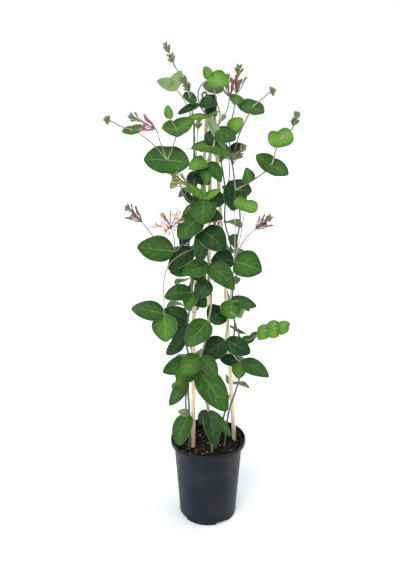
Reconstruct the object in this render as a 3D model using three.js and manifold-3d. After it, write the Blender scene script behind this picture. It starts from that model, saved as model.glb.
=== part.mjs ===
// A climbing honeysuckle in its nursery pot, trained up a tripod of bamboo canes.
// Millimetres, +Z up. The origin is the centre of the flat base of the pot.

import * as THREE from 'three';
import { mergeVertices } from 'three/addons/utils/BufferGeometryUtils.js';
import Module from 'manifold-3d';

const wasm = await Module();
wasm.setup();

// ---------------------------------------------------------------- driving sizes

const GAP = 0.3;              // air between two pieces that touch

const POT = {
  height: 168,
  rimRadius: 75,
  neckRadius: 68.5,           // outside of the wall just under the lip
  baseRadius: 57.3,
  wall: 2,
  floor: 3,
  lipHeight: 11,
  lipStep: 2,                 // height over which the wall turns out to the lip
  lipRound: 1,
  sides: 24,
  notchAngles: [30, 120, 210, 300],
  notchWidth: 27,
  notchHeight: 5,
  notchDepth: 7,
};

const SOIL = {
  level: 151,
  rings: [44, 20],            // radii at which the surface is raised or lowered
  lumps: [{ height: 2, x: 0.09, y: 0.11, turn: 1 }, { height: 1.2, x: 0.37, y: 0.41, turn: 2 }],
};

const CANE = {
  bottomRadius: 4.4,
  bendRadius: 3.8,
  tipRadius: 3,
  sides: 6,
  joints: [0.04, 0.55],       // where the rings are on the upper length, from 0 to 1
  ring: 0.8,
  ringReach: 3,               // from the top of a ring down to the plain cane
  lap: 6,                     // how far the lengths of a cane run into each other
};
// foot: the end in the soil, neck: where the cane comes out of it, bend: the joint at
// which it is bowed, tip: under the cap
const CANES = {
  cane_left: { foot: [-30, -14, 40], neck: [-30, -14, 148], bend: [-28, -7, 420], tip: [-3.2, 4.2, 812] },
  cane_right: { foot: [46, 16, 40], neck: [54, 19, 148], bend: [35.5, 13, 420], tip: [7.2, 4.2, 812] },
  cane_back: { foot: [-2, 44, 40], neck: [-1, 52, 148], bend: [0, 36, 420], tip: [2, 12, 812] },
};

const CAP = {
  centre: [2, 7],
  bottom: 792,
  top: 828,
  radius: 12,
  skirt: 4,                   // height of the wider band round its foot
  step: 1,
  round: 3,                   // width of the sloped top edge
  sides: 12,
  hookRadius: 1.4,
  hook: [[-6, -5, -2], [-9, -6, 3], [-13, -7, 2], [-14.5, -7, -3], [-12, -8, -7]],
  hookStride: 4,
};

const STEM = {
  root: 125,
  mainRadius: 2,              // stems thicker than this are main stems
  stride: 40,
  shootStride: 25,
  clearance: 1.2,             // air round a stem where it goes into the soil
  holeSides: 6,
};

const LEAF = {
  thickness: 0.8,
  shoulder: 0.9,              // under 1 moves the widest part of a leaf towards its foot
  fullness: 0.6,              // under 1 fills out its two ends
  bow: 0.09,                  // height of the arch along the midrib, per length
  fold: 0.16,                 // rise of the edges over the midrib, per half width
  ripple: 1.1,                // height of the edge wave
  waves: 11,                  // how often the edge waves along the blade
  waveWidth: 6,               // narrower than this, the wave dies out
  lift: 35,                   // degrees that a leaf face looks up
  root: 0.2,                  // from the middle of the stem to the foot of a leaf
  small: 50,                  // shorter leaves take fewer rows
};

// Half of a disc: its width at the stem, how it widens outward, and its round end.
const DISC = { waist: 0.92, flare: 0.38, bluntness: 2.4, fullness: 0.68, small: 26 };

const COLOURS = {
  pot: 0x2b2d31, soil: 0x241b16, cane: 0xd9b684, cap: 0x1f2a24,
  leaf: 0x2f6b2c, bud: 0x8a9a55, pink: 0xc4566a, purple: 0x8d5068, open: 0xf0b9a0,
};

// ---------------------------------------------------------------- the vines
// A vine is a list of stems, the main one first. Every side shoot starts on a
// stem before it. face: degrees round Z that its leaves look to.
// leaves: [point of the path, x, y, z from there to the tip, width]
// discs, two leaves grown together round the stem: [point, tip, tip, width, lift, face]

const VINES = {
  vine_left: {
    face: 250,
    stems: [
      { r: 2.5,
        path: [[-37, -22, 125], [-37, -22, 160], [-37, -23, 230], [-39, -28, 305], [-35, -42, 350],
          [-42, -40, 390], [-38, -38, 430], [-30, -46, 485], [-32, -42, 530], [-27, -38, 565],
          [-22, -36, 605], [-28, -35, 645], [-24, -26, 700], [-26, -24, 745], [-26, -22, 780]],
        leaves: [[2, -22, -28, -54, 38], [2, -22, -6, 10, 16], [3, -35, -20, -45, 28],
          [4, -50, -20, -15, 34], [4, -20, -40, -26, 36], [5, -40, 20, -35, 28],
          [6, -45, 5, 20, 31], [6, -30, 15, -55, 29], [7, -5, -25, -25, 29],
          [7, -50, -10, -5, 32], [7, 26, -12, -24, 28], [8, -38, -10, -6, 30],
          [8, 24, 10, -22, 28], [9, -45, -20, -35, 38], [10, -30, -4, -36, 26],
          [11, -20, -4, -26, 10], [11, -18, -2, 24, 13], [12, 26, -2, -22, 28],
          [12, -8, 16, -38, 26], [11, 6, 18, -40, 24]] },
      { r: 1.5,
        path: [[-27, -38, 565], [-50, -50, 556], [-70, -60, 540], [-80, -60, 505], [-80, -60, 480],
          [-80, -60, 450]],
        leaves: [[5, -60, 0, 10, 36], [5, 5, -20, -48, 47]] },
      { r: 1.6,
        path: [[-27, -38, 565], [-45, -50, 575], [-60, -60, 565], [-85, -60, 575], [-100, -55, 594],
          [-115, -55, 614]],
        leaves: [[2, -66, -5, 8, 48]] },
      { r: 1.2, path: [[-60, -60, 565], [-60, -60, 585], [-65, -60, 605]] },
      { r: 1.7,
        path: [[-28, -35, 645], [-42, -47, 660], [-52, -54, 686], [-70, -60, 721]],
        leaves: [[2, -17, 6, -13, 16]],
        discs: [[3, [-40, -5, 2], [38, 0, -5], 52]] },
      { r: 1.2, path: [[-42, -47, 660], [-36, -65, 680]] },
      { r: 1.2,
        path: [[-70, -60, 721], [-95, -70, 750], [-125, -70, 770], [-140, -75, 775], [-160, -75, 785]],
        discs: [[2, [-18, -5, -2], [20, 0, 6], 18]] },
      { r: 1.2, path: [[-70, -60, 721], [-80, -72, 750], [-86, -82, 772]] },
      { r: 1.2,
        path: [[-70, -60, 721], [-60, -60, 745], [-55, -50, 770], [-65, -55, 788]],
        leaves: [[3, -4, -4, 22, 15]],
        discs: [[2, [-24, -12, 3], [31, 4, 17], 33]] },
      { r: 1.3,
        path: [[-26, -22, 780], [-33, -27, 820], [-38, -25, 842], [-40, -20, 855], [-50, -15, 862],
          [-58, -10, 871]],
        discs: [[1, [-12, -8, 3], [12, 4, -2], 24]] },
      { r: 1.1, path: [[-33, -27, 820], [-30, -40, 828]] },
      { r: 1.2,
        path: [[-26, -22, 780], [-45, -30, 822], [-60, -30, 840]],
        discs: [[2, [-28, -5, 8], [14, 5, 25], 24]] },
    ],
  },
  vine_front: {
    face: 270,
    stems: [
      { r: 2.3,
        path: [[8, -26, 125], [8, -26, 160], [0, -45, 250], [-10, -48, 290], [-18, -47, 335],
          [-14, -52, 365], [-5, -56, 400], [0, -56, 435], [5, -56, 475], [0, -52, 510],
          [0, -52, 540], [-5, -51, 570], [-12, -50, 600], [-14, -50, 625], [-8, -46, 655],
          [-4, -46, 716], [7, -48, 742], [8, -38, 768], [6, -34, 773]],
        leaves: [[2, 14, -28, -62, 30], [2, -18, 0, -30, 25], [2, 46, -8, -52, 20],
          [4, 54, -33, -70, 50], [4, -44, -20, -20, 26], [5, 31, -32, -32, 30],
          [5, -33, -36, -20, 38], [7, -40, -30, -38, 43], [7, 34, 26, 12, 42],
          [9, -24, -14, -30, 34], [10, 46, -25, -40, 38], [10, -46, -28, -12, 34],
          [12, 42, -15, -30, 46], [12, -5, -18, -62, 26], [13, -40, -18, -36, 42],
          [13, 38, -12, 0, 31], [14, -2, -32, -38, 44], [14, 38, 2, 0, 34],
          [14, -37, -8, 32, 15], [14, 26, -14, 18, 15], [14, -2, -14, 26, 9],
          [15, 0, -22, -34, 21], [15, 25, -20, -30, 25], [15, -30, -20, -8, 26],
          [17, 36, -18, -12, 32], [17, -10, -8, -24, 22]],
        discs: [[16, [-38, 0, 0], [28, -12, -12], 38, 62]] },
      { r: 1.5,
        path: [[8, -38, 768], [-4, -28, 792], [-17, -26, 812], [-18, -28, 833], [-10, -28, 846],
          [-1, -30, 850], [1, -30, 852]],
        leaves: [[1, 32, -24, -54, 16], [1, -36, -14, -4, 13], [1, 20, -10, 8, 7],
          [2, -36, -18, -16, 14], [2, 30, -12, 0, 24], [5, 33, -12, -6, 35],
          [5, -7, 2, 22, 16]] },
      { r: 1.3,
        path: [[9, -39, 765], [18, -26, 792], [12, -24, 816], [8, -20, 838]],
        discs: [[3, [-20, 0, 4], [17, 2, -4], 22, 30, 90]] },
      { r: 1.2,
        path: [[8, -42, 758], [20, -28, 786], [30, -20, 802], [34, -16, 822]],
        leaves: [[1, 9, -8, 6, 12]] },
    ],
  },
  vine_right: {
    face: 285,
    stems: [
      { r: 2.2,
        path: [[34, -8, 125], [34, -8, 160], [42, -10, 235], [52, -12, 270], [60, -16, 305],
          [60, -22, 340], [60, -26, 385], [48, -18, 425], [44, -14, 470], [52, -18, 520],
          [50, -24, 570], [55, -30, 620], [46, -36, 668], [40, -28, 710], [32, -24, 735]],
        leaves: [[5, 58, -8, -26, 32], [5, -4, -26, -22, 28], [5, -40, 12, 4, 24], [6, 28, 8, 2, 16],
          [9, 20, 24, 30, 28], [10, -16, -14, 16, 26], [14, 32, -8, 8, 18]],
        discs: [[12, [-6, -14, -34], [28, -6, 0], 42]] },
      { r: 1.5,
        path: [[60, -22, 340], [44, -32, 364], [32, -36, 390], [37, -36, 427], [39, -34, 468],
          [43, -34, 505], [45, -38, 541], [46, -42, 590], [45, -42, 640], [46, -36, 668]],
        leaves: [[2, -42, -14, -30, 42], [2, 46, -16, -18, 36], [4, 50, 0, -12, 24],
          [4, 3, -20, -30, 38], [4, 22, -10, -32, 34], [6, 50, -14, -14, 54],
          [6, -42, -2, 2, 36]] },
      { r: 1.2,
        path: [[60, -26, 385], [78, -36, 392], [90, -40, 402], [100, -42, 410], [118, -45, 416],
          [136, -45, 420]],
        leaves: [[1, 14, 10, 12, 12]],
        discs: [[3, [0, -3, 17], [0, 3, -17], 25], [4, [0, 3, 17], [0, -3, -17], 25],
          [5, [3, -3, 15], [3, 3, -14], 23]] },
      { r: 1.3,
        path: [[45, -38, 541], [54, -43, 580], [59, -50, 617], [62, -58, 645]],
        discs: [[3, [-20, -4, 8], [22, 0, -5], 24, 20]] },
      { r: 1.3, path: [[45, -38, 541], [56, -42, 570], [67, -44, 588], [80, -44, 600]] },
      { r: 1.5,
        path: [[40, -28, 710], [34, -30, 765], [42, -30, 806], [45, -27, 827]],
        leaves: [[1, 22, -12, 24, 27], [3, -4, -16, -18, 24]] },
      { r: 1.4,
        path: [[40, -28, 710], [50, -34, 760], [65, -32, 793], [72, -30, 806], [86, -30, 818],
          [100, -26, 830]],
        discs: [[3, [-26, 4, 6], [20, -6, -8], 30]] },
      { r: 1.6,
        path: [[46, -36, 668], [68, -38, 681], [84, -40, 692], [105, -44, 711], [112, -42, 735],
          [119, -40, 753], [129, -40, 763], [139, -40, 771]],
        leaves: [[1, -4, -10, 27, 26]],
        discs: [[3, [-26, 4, 18], [30, -8, -14], 34], [5, [-22, -4, 0], [22, 0, 10], 34]] },
      { r: 1.2, path: [[40, -28, 710], [43, -42, 716]] },
    ],
  },
  vine_back_left: {
    face: 130,
    stems: [
      { r: 2.4,
        path: [[-34, 26, 125], [-34, 26, 160], [-46, 34, 215], [-42, 50, 270], [-34, 62, 320],
          [-44, 48, 375], [-46, 40, 430], [-32, 52, 485], [-40, 42, 545], [-32, 40, 600],
          [-24, 40, 655], [-28, 28, 710], [-26, 24, 755]],
        leaves: [[3, -34, 20, -26, 36], [4, -36, 12, -14, 36], [4, 16, 44, -26, 36],
          [5, -30, 26, -22, 38], [5, 8, 46, -34, 38], [5, 24, -26, -16, 30],
          [6, -38, 16, -6, 38], [6, 24, 34, -16, 34], [7, -34, 30, -24, 38],
          [7, 28, 32, -14, 36], [7, 2, -34, -20, 30], [8, -36, -2, -16, 36],
          [8, 6, 46, -26, 38], [10, -34, 14, -10, 32], [10, 6, -30, -14, 28],
          [11, 24, 8, -2, 28]] },
      { r: 1.5,
        path: [[-40, 42, 545], [-36, 66, 562], [-30, 88, 588], [-26, 98, 622]],
        discs: [[2, [-30, -10, 4], [24, 10, -2], 42, 50]] },
      { r: 1.4,
        path: [[-24, 40, 655], [-26, 62, 690], [-24, 78, 728], [-22, 84, 762]],
        discs: [[2, [-14, 14, 0], [28, -4, 4], 34, 50]] },
    ],
  },
  vine_back_right: {
    face: 50,
    stems: [
      { r: 2.4,
        path: [[26, 34, 125], [26, 34, 160], [38, 45, 215], [48, 40, 270], [40, 54, 325],
          [52, 44, 380], [44, 36, 435], [30, 48, 490], [42, 42, 545], [30, 36, 600],
          [30, 32, 655], [22, 38, 710], [14, 30, 755]],
        leaves: [[3, 36, 12, -22, 36], [3, -6, 46, -24, 36], [4, 34, 26, -26, 38],
          [4, -24, 38, -12, 34], [5, 14, 44, -18, 38], [6, 38, 14, -16, 38],
          [6, -6, 46, -6, 36], [7, 24, 38, -24, 38], [8, -22, 38, -8, 34],
          [8, 34, 22, -26, 38], [8, 8, -32, -14, 26], [9, 34, 18, -14, 34],
          [10, 10, 40, -8, 32], [10, 8, -28, -12, 24], [11, -16, -6, 26, 26]] },
      { r: 1.5,
        path: [[30, 48, 490], [22, 72, 505], [13, 90, 535], [11, 96, 568]],
        discs: [[2, [32, -14, 2], [-30, 16, 2], 40, 50]] },
      { r: 1.4,
        path: [[30, 32, 655], [38, 56, 685], [36, 76, 718], [30, 84, 752]],
        discs: [[2, [24, -8, 2], [-28, 8, 2], 36, 50]] },
    ],
  },
};

// ---------------------------------------------------------------- flower heads
// at: the stem end that carries the head, aim: from there to its far end.

const HEADS = {
  head_top: { kind: 'spray', at: [-58, -10, 871], aim: [-15, 0, 34] },
  head_top_left: { kind: 'spray', at: [-30, -40, 828], aim: [-13, -7, 20] },
  head_tall: { kind: 'tubes', at: [45, -27, 827], aim: [3, -6, 42] },
  head_tall_side: { kind: 'tubes', at: [34, -16, 822], aim: [-4, 14, 32] },
  head_far_right: { kind: 'ball', at: [100, -26, 830], aim: [9, 0, 5] },
  head_far_left: { kind: 'ball', at: [-160, -75, 785], aim: [-11, 0, 3] },
  head_pink: { kind: 'tubes', at: [-86, -82, 772], aim: [-38, -10, 20] },
  head_right_top: { kind: 'spray', at: [139, -40, 771], aim: [6, 0, 22] },
  head_left: { kind: 'tubes', at: [-115, -55, 614], aim: [-24, 0, 26] },
  head_open: { kind: 'open', at: [-65, -60, 605], aim: [-6, -8, 18] },
  head_right: { kind: 'tubes', at: [80, -44, 600], aim: [24, -4, 22] },
  head_yellow: { kind: 'tubes', at: [-36, -65, 680], aim: [-20, -16, 16] },
  head_inner: { kind: 'spray', at: [43, -42, 716], aim: [14, -10, 26] },
  head_back_left: { kind: 'tubes', at: [-26, 98, 622], aim: [-2, 10, 24] },
  head_back_top: { kind: 'spray', at: [-22, 84, 762], aim: [2, 8, 22] },
  head_back_right: { kind: 'tubes', at: [11, 96, 568], aim: [2, 12, 23] },
  head_back_high: { kind: 'ball', at: [30, 84, 752], aim: [0, 4, 10] },
};

// ---------------------------------------------------------------- solids

const WELD = 1e-4;
const LATHE_AXIS = new THREE.Vector3(0, 1, 0);
const CROSSWISE = new THREE.Vector3(0.31, 0.87, 0.38);
const GOLDEN = Math.PI * (3 - Math.sqrt(5));

function vec(p) {
  return new THREE.Vector3(...p);
}

function solid(geometry) {
  geometry.deleteAttribute('normal');
  geometry.deleteAttribute('uv');
  const merged = mergeVertices(geometry, WELD);
  const vertProperties = new Float32Array(merged.attributes.position.array);
  const triVerts = new Uint32Array(merged.index.array);
  const mesh = new wasm.Mesh({ numProp: 3, vertProperties, triVerts });
  mesh.merge();
  return new wasm.Manifold(mesh);
}

function geometryOf(manifold) {
  const mesh = manifold.getMesh();
  const geometry = new THREE.BufferGeometry();
  const positions = new Float32Array(mesh.vertProperties);
  geometry.setAttribute('position', new THREE.BufferAttribute(positions, 3));
  geometry.setIndex(new THREE.BufferAttribute(new Uint32Array(mesh.triVerts), 1));
  geometry.computeVertexNormals();
  return geometry;
}

function join(solids) {
  return solids.reduce((whole, piece) => whole.add(piece));
}

function lathe(profile, sides) {
  const outline = profile.map(([radius, height]) => new THREE.Vector2(radius, height));
  return new THREE.LatheGeometry(outline, sides);
}

function standing(geometry) {
  return geometry.rotateX(Math.PI / 2);
}

// A geometry made along +Y is turned to `aim` and put at `at`.
function placed(geometry, at, aim) {
  const turn = new THREE.Quaternion().setFromUnitVectors(LATHE_AXIS, aim.clone().normalize());
  return geometry.applyQuaternion(turn).translate(at.x, at.y, at.z);
}

function tube(points, radius, stride) {
  const curve = new THREE.CatmullRomCurve3(points);
  const corners = [0, 1, 2, 3].map((k) => (
    new THREE.Vector2(radius, 0).rotateAround(new THREE.Vector2(), (k * Math.PI) / 2)
  ));
  const section = new THREE.Shape(corners);
  const steps = Math.max(2, Math.round(curve.getLength() / stride));
  return solid(new THREE.ExtrudeGeometry(section, { steps, extrudePath: curve, bevelEnabled: false }));
}

// ---------------------------------------------------------------- leaves

const LEAF_ROWS = { tiny: [0.25, 0.7], whole: [0.14, 0.48, 0.82] };
const DISC_ROWS = { tiny: [0.6], whole: [0.42, 0.8] };

function leafHalfWidth(u, width) {
  return 0.5 * width * Math.sin(Math.PI * u ** LEAF.shoulder) ** LEAF.fullness;
}

function discHalfWidth(u, width) {
  const rounded = (1 - u ** DISC.bluntness) ** DISC.fullness;
  return 0.5 * width * (DISC.waist + DISC.flare * u) * rounded;
}

function direction(lift, face) {
  const [up, round] = [lift, face].map(THREE.MathUtils.degToRad);
  return new THREE.Vector3(
    Math.cos(up) * Math.cos(round),
    Math.cos(up) * Math.sin(round),
    Math.sin(up),
  );
}

// Three points across a blade at `u` of its length: edge, midrib, edge.
function bladeRow(foot, reach, facing, u, half) {
  const length = reach.length();
  const along = reach.clone().divideScalar(length);
  const up = facing.clone().addScaledVector(along, -facing.dot(along)).normalize();
  const side = new THREE.Vector3().crossVectors(along, up);
  const arch = length * LEAF.bow * Math.sin(Math.PI * u);
  const ripple = LEAF.ripple * Math.min(1, half / LEAF.waveWidth);
  return [-1, 0, 1].map((v) => {
    const wave = ripple * Math.sin(LEAF.waves * u + foot.x + foot.z + v);
    const rise = arch + Math.abs(v) * (LEAF.fold * half + wave);
    return foot.clone()
      .addScaledVector(along, length * u)
      .addScaledVector(side, half * v)
      .addScaledVector(up, rise);
  });
}

// A closed sheet of even thickness over rows of three points, with a point at
// each end. Both faces are split alike.
function sheet(rows, start, end, up) {
  const points = [...rows.flat(), start, end];
  const under = points.length;
  const positions = [LEAF.thickness / 2, -LEAF.thickness / 2].flatMap((shift) => (
    points.flatMap((p) => p.clone().addScaledVector(up, shift).toArray())
  ));
  const index = [];
  const faces = (a, b, c) => index.push(a, b, c, a + under, c + under, b + under);
  const wall = (a, b) => index.push(b, a, a + under, b, a + under, b + under);
  const last = 3 * (rows.length - 1);
  const first = last + 3;
  const tip = last + 4;
  for (let row = 0; row < last; row += 3) {
    const next = row + 3;
    faces(row, row + 1, next);
    faces(row + 1, next + 1, next);
    faces(row + 1, row + 2, next + 2);
    faces(row + 1, next + 2, next + 1);
    wall(next, row);
    wall(row + 2, next + 2);
  }
  faces(1, 0, first);
  faces(2, 1, first);
  wall(0, first);
  wall(first, 2);
  faces(last, last + 1, tip);
  faces(last + 1, last + 2, tip);
  wall(tip, last);
  wall(last + 2, tip);
  const geometry = new THREE.BufferGeometry();
  geometry.setAttribute('position', new THREE.Float32BufferAttribute(positions, 3));
  geometry.setIndex(index);
  return solid(geometry);
}

function leaf(foot, reach, width, facing) {
  const stations = reach.length() < LEAF.small ? LEAF_ROWS.tiny : LEAF_ROWS.whole;
  const rows = stations.map((u) => bladeRow(foot, reach, facing, u, leafHalfWidth(u, width)));
  const root = foot.clone().addScaledVector(reach, LEAF.root / reach.length());
  return sheet(rows, root, foot.clone().add(reach), facing);
}

function disc(foot, reach, otherReach, width, facing) {
  const stations = reach.length() < DISC.small ? DISC_ROWS.tiny : DISC_ROWS.whole;
  const half = (to, u) => bladeRow(foot, to, facing, u, discHalfWidth(u, width));
  const across = reach.clone().sub(otherReach);
  const rows = [
    ...stations.map((u) => half(otherReach, u).reverse()).reverse(),
    bladeRow(foot, across, facing, 0, discHalfWidth(0, width)),
    ...stations.map((u) => half(reach, u)),
  ];
  return sheet(rows, foot.clone().add(otherReach), foot.clone().add(reach), facing);
}

function vine({ face, stems }) {
  const solids = [];
  for (const { r, path, leaves = [], discs = [] } of stems) {
    const points = path.map(vec);
    solids.push(tube(points, r, r > STEM.mainRadius ? STEM.stride : STEM.shootStride));
    for (const [node, x, y, z, width] of leaves) {
      solids.push(leaf(points[node], vec([x, y, z]), width, direction(LEAF.lift, face)));
    }
    for (const [node, tip, otherTip, width, lift = LEAF.lift, turn = face] of discs) {
      solids.push(disc(points[node], vec(tip), vec(otherTip), width, direction(lift, turn)));
    }
  }
  return geometryOf(join(solids));
}

// ---------------------------------------------------------------- flowers

const HEAD = {
  seat: 1,                    // air between a stem end and its flower head
  stalkGirth: 1.6,
  longBud: 12,
  leanSpread: 0.18,
  lengthSpread: 0.12,
};

// A three-sided bud: a long one is a slender tube that swells near its tip.
function bud(at, aim, girth) {
  const length = aim.length();
  const long = [[0, 0], [0.6 * girth, 0.5 * length], [girth, 0.86 * length], [0, length]];
  const short = [[0, 0], [girth, 0.6 * length], [0, length]];
  return solid(placed(lathe(length > HEAD.longBud ? long : short, 3), at, aim));
}

function leaning(axis, out, degrees) {
  const tilt = THREE.MathUtils.degToRad(degrees);
  return axis.clone().multiplyScalar(Math.cos(tilt)).addScaledVector(out, Math.sin(tilt));
}

function outward(axis, round) {
  return CROSSWISE.clone().cross(axis).normalize().applyAxisAngle(axis, round);
}

// Buds stand round an axis in a whorl, leaning out from it.
function whorl(base, axis, { at, count, length, lean, girth, turn = 0 }) {
  const foot = base.clone().addScaledVector(axis, at);
  const buds = [];
  for (let k = 0; k < count; k += 1) {
    const round = turn + (2 * Math.PI * k) / count;
    const tilt = lean * (1 + HEAD.leanSpread * Math.sin(5 * k + turn));
    const aim = leaning(axis, outward(axis, round), tilt);
    const reach = length * (1 + HEAD.lengthSpread * Math.cos(3 * k));
    buds.push(bud(foot, aim.multiplyScalar(reach), girth));
  }
  return buds;
}

// Rings of buds, listed from the foot of a head: at is the way up its stalk.
const HEAD_KINDS = {
  spray: (reach) => [
    { at: 0.2 * reach, count: 3, length: 12, lean: 36, girth: 2.2 },
    { at: 0.65 * reach, count: 4, length: 13, lean: 24, girth: 2.4, turn: 1 },
  ],
  ball: () => [
    { at: 2, count: 4, length: 8, lean: 80, girth: 2.4 },
    { at: 3, count: 3, length: 8, lean: 35, girth: 2.4, turn: 0.6 },
  ],
  tubes: (reach) => [
    { at: 2, count: 5, length: 28, lean: 34, girth: 2.1 },
    { at: 0.75 * reach, count: 4, length: 14, lean: 28, girth: 2.1, turn: 0.8 },
  ],
  open: (reach) => [
    { at: 0.5 * reach, count: 3, length: 20, lean: 25, girth: 1.8, turn: 0.4 },
  ],
};

// An open flower: a slender tube, a broad lip curled up, a narrow lip curled down
// and stamens between them.
const FLOWER = {
  count: 5,
  hub: 2.4,
  lean: 62,
  leanSpread: 0.3,
  tube: 22,
  girth: 1.5,
  mouth: 20,                  // where the lips leave the tube
  lipLift: 57,
  lip: 18,
  lipWidth: 12,
  tongueLift: -60,
  tongue: 14,
  tongueWidth: 5,
  stamenLift: 9,
  stamen: 20,
  stamenGirth: 0.9,
};

function openFlower(base, axis, round) {
  const lean = FLOWER.lean * (1 + FLOWER.leanSpread * Math.sin(4 * round));
  const aim = leaning(axis, outward(axis, round), lean);
  const mouth = base.clone().addScaledVector(aim, FLOWER.mouth);
  const back = axis.clone().addScaledVector(aim, -axis.dot(aim)).normalize();
  const toward = (lift, length) => leaning(aim, back, lift).multiplyScalar(length);
  return [
    bud(base, toward(0, FLOWER.tube), FLOWER.girth),
    leaf(mouth, toward(FLOWER.lipLift, FLOWER.lip), FLOWER.lipWidth, aim),
    leaf(mouth, toward(FLOWER.tongueLift, FLOWER.tongue), FLOWER.tongueWidth, aim),
    bud(mouth, toward(FLOWER.stamenLift, FLOWER.stamen), FLOWER.stamenGirth),
  ];
}

function head({ kind, at, aim }) {
  const axis = vec(aim).normalize();
  const reach = vec(aim).length();
  const base = vec(at).addScaledVector(axis, HEAD.seat);
  const solids = [bud(base, axis.clone().multiplyScalar(reach), HEAD.stalkGirth)];
  for (const ring of HEAD_KINDS[kind](reach)) {
    solids.push(...whorl(base, axis, ring));
  }
  if (kind === 'open') {
    const hub = base.addScaledVector(axis, FLOWER.hub);
    solids.push(solid(new THREE.OctahedronGeometry(FLOWER.hub).translate(...hub)));
    for (let k = 0; k < FLOWER.count; k += 1) {
      solids.push(...openFlower(hub, axis, k * GOLDEN));
    }
  }
  return geometryOf(join(solids));
}

// ---------------------------------------------------------------- pot, soil, canes

function potWallRadius(z) {
  return THREE.MathUtils.lerp(POT.baseRadius, POT.neckRadius, z / (POT.height - POT.lipHeight));
}

function pot() {
  const { baseRadius, neckRadius, rimRadius, wall, floor, height, lipStep, lipRound } = POT;
  const under = height - POT.lipHeight;
  const inside = (z) => potWallRadius(z) - wall;
  const profile = [
    [0, 0], [baseRadius, 0], [neckRadius, under], [rimRadius - lipRound, under],
    [rimRadius, under + lipStep], [rimRadius, height - lipRound], [rimRadius - lipRound, height],
    [rimRadius - wall, height], [rimRadius - wall, under + lipStep + wall],
    [inside(under), under + wall], [inside(floor), floor], [0, floor],
  ];
  let body = solid(standing(lathe(profile, POT.sides)));
  for (const angle of POT.notchAngles) {
    const notch = new THREE.BoxGeometry(2 * POT.notchDepth, POT.notchWidth, 2 * POT.notchHeight);
    notch.translate(POT.baseRadius, 0, 0).rotateZ(THREE.MathUtils.degToRad(angle));
    body = body.subtract(solid(notch));
  }
  return geometryOf(body);
}

function soilHeight(x, y) {
  return SOIL.lumps.reduce((height, lump) => (
    height + lump.height * Math.sin(lump.x * x + lump.turn) * Math.cos(lump.y * y)
  ), SOIL.level);
}

function soil() {
  const edge = (z) => potWallRadius(z) - POT.wall - GAP;
  const bottom = POT.floor + GAP;
  const rings = [edge(SOIL.level), ...SOIL.rings, 0];
  const profile = [[0, bottom], [edge(bottom), bottom], ...rings.map((radius) => [radius, SOIL.level])];
  const geometry = standing(lathe(profile, POT.sides));
  const p = geometry.attributes.position;
  for (let i = 0; i < p.count; i += 1) {
    const inside = Math.hypot(p.getX(i), p.getY(i)) < edge(SOIL.level) - 1;
    if (p.getZ(i) > SOIL.level - 1 && inside) {
      p.setZ(i, soilHeight(p.getX(i), p.getY(i)));
    }
  }
  let body = solid(geometry);
  for (const spec of Object.values(CANES)) {
    body = body.subtract(cane(spec, GAP));
  }
  for (const { stems } of Object.values(VINES)) {
    const [x, y] = stems[0].path[0];
    const radius = stems[0].r + STEM.clearance;
    const depth = POT.height - STEM.root + 2 * GAP;
    const hole = standing(new THREE.CylinderGeometry(radius, radius, depth, STEM.holeSides));
    body = body.subtract(solid(hole.translate(x, y, POT.height - depth / 2)));
  }
  return geometryOf(body);
}

// A round rod between two points, with the raised rings of a cane's joints.
// `grow` makes it larger all over, for the hole that it stands in.
function rod(from, to, radii, grow, joints = []) {
  const axis = vec(to).sub(vec(from));
  const length = axis.length();
  const radius = (t) => THREE.MathUtils.lerp(...radii, t) + grow;
  const profile = [[0, -grow], [radius(0), -grow]];
  for (const t of joints) {
    profile.push([radius(t), t * length - CANE.ringReach]);
    profile.push([radius(t) + CANE.ring, t * length]);
    profile.push([radius(t), t * length + CANE.ringReach]);
  }
  profile.push([radius(1), length + grow], [0, length + grow]);
  return solid(placed(lathe(profile, CANE.sides), vec(from), axis));
}

function cane({ foot, neck, bend, tip }, grow = 0) {
  const { bottomRadius, bendRadius, tipRadius, joints } = CANE;
  const inside = (from, to) => {
    const back = vec(to).sub(vec(from)).setLength(CANE.lap);
    return vec(from).sub(back).toArray();
  };
  return join([
    rod(foot, neck, [bottomRadius, bottomRadius], grow),
    rod(inside(neck, bend), bend, [bottomRadius, bendRadius], grow),
    rod(inside(bend, tip), tip, [bendRadius, tipRadius], grow, joints),
  ]);
}

function cap() {
  const { radius, bottom, top } = CAP;
  const profile = [
    [0, bottom], [radius, bottom], [radius, bottom + CAP.skirt], [radius - CAP.step, bottom + CAP.skirt],
    [radius - CAP.step, top - CAP.round], [radius - CAP.round, top], [0, top],
  ];
  let body = solid(standing(lathe(profile, CAP.sides)).translate(...CAP.centre, 0));
  const [x, y] = CAP.centre;
  const hook = CAP.hook.map(([dx, dy, dz]) => new THREE.Vector3(x + dx, y + dy, top + dz));
  body = body.add(tube(hook, CAP.hookRadius, CAP.hookStride));
  for (const spec of Object.values(CANES)) {
    body = body.subtract(cane(spec, GAP));
  }
  return geometryOf(body);
}

// ---------------------------------------------------------------- the object

const ROUGH = { pot: 0.6, soil: 1, cane: 0.65, cap: 0.5, leaf: 0.45 };

function material(colour) {
  return new THREE.MeshStandardMaterial({
    color: COLOURS[colour],
    roughness: ROUGH[colour] ?? 0.55,
    metalness: 0,
  });
}

const plant = new THREE.Group();

function addPiece(name, geometry, colour) {
  const mesh = new THREE.Mesh(geometry, material(colour));
  mesh.name = name;
  plant.add(mesh);
}

addPiece('pot', pot(), 'pot');
addPiece('soil', soil(), 'soil');
for (const [name, spec] of Object.entries(CANES)) {
  addPiece(name, geometryOf(cane(spec)), 'cane');
}
addPiece('cane_cap', cap(), 'cap');
for (const [name, spec] of Object.entries(VINES)) {
  addPiece(name, vine(spec), 'leaf');
}
const HEAD_COLOURS = { spray: 'bud', ball: 'bud', tubes: 'purple', open: 'open' };
for (const [name, spec] of Object.entries(HEADS)) {
  addPiece(name, head(spec), HEAD_COLOURS[spec.kind]);
}

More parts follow.
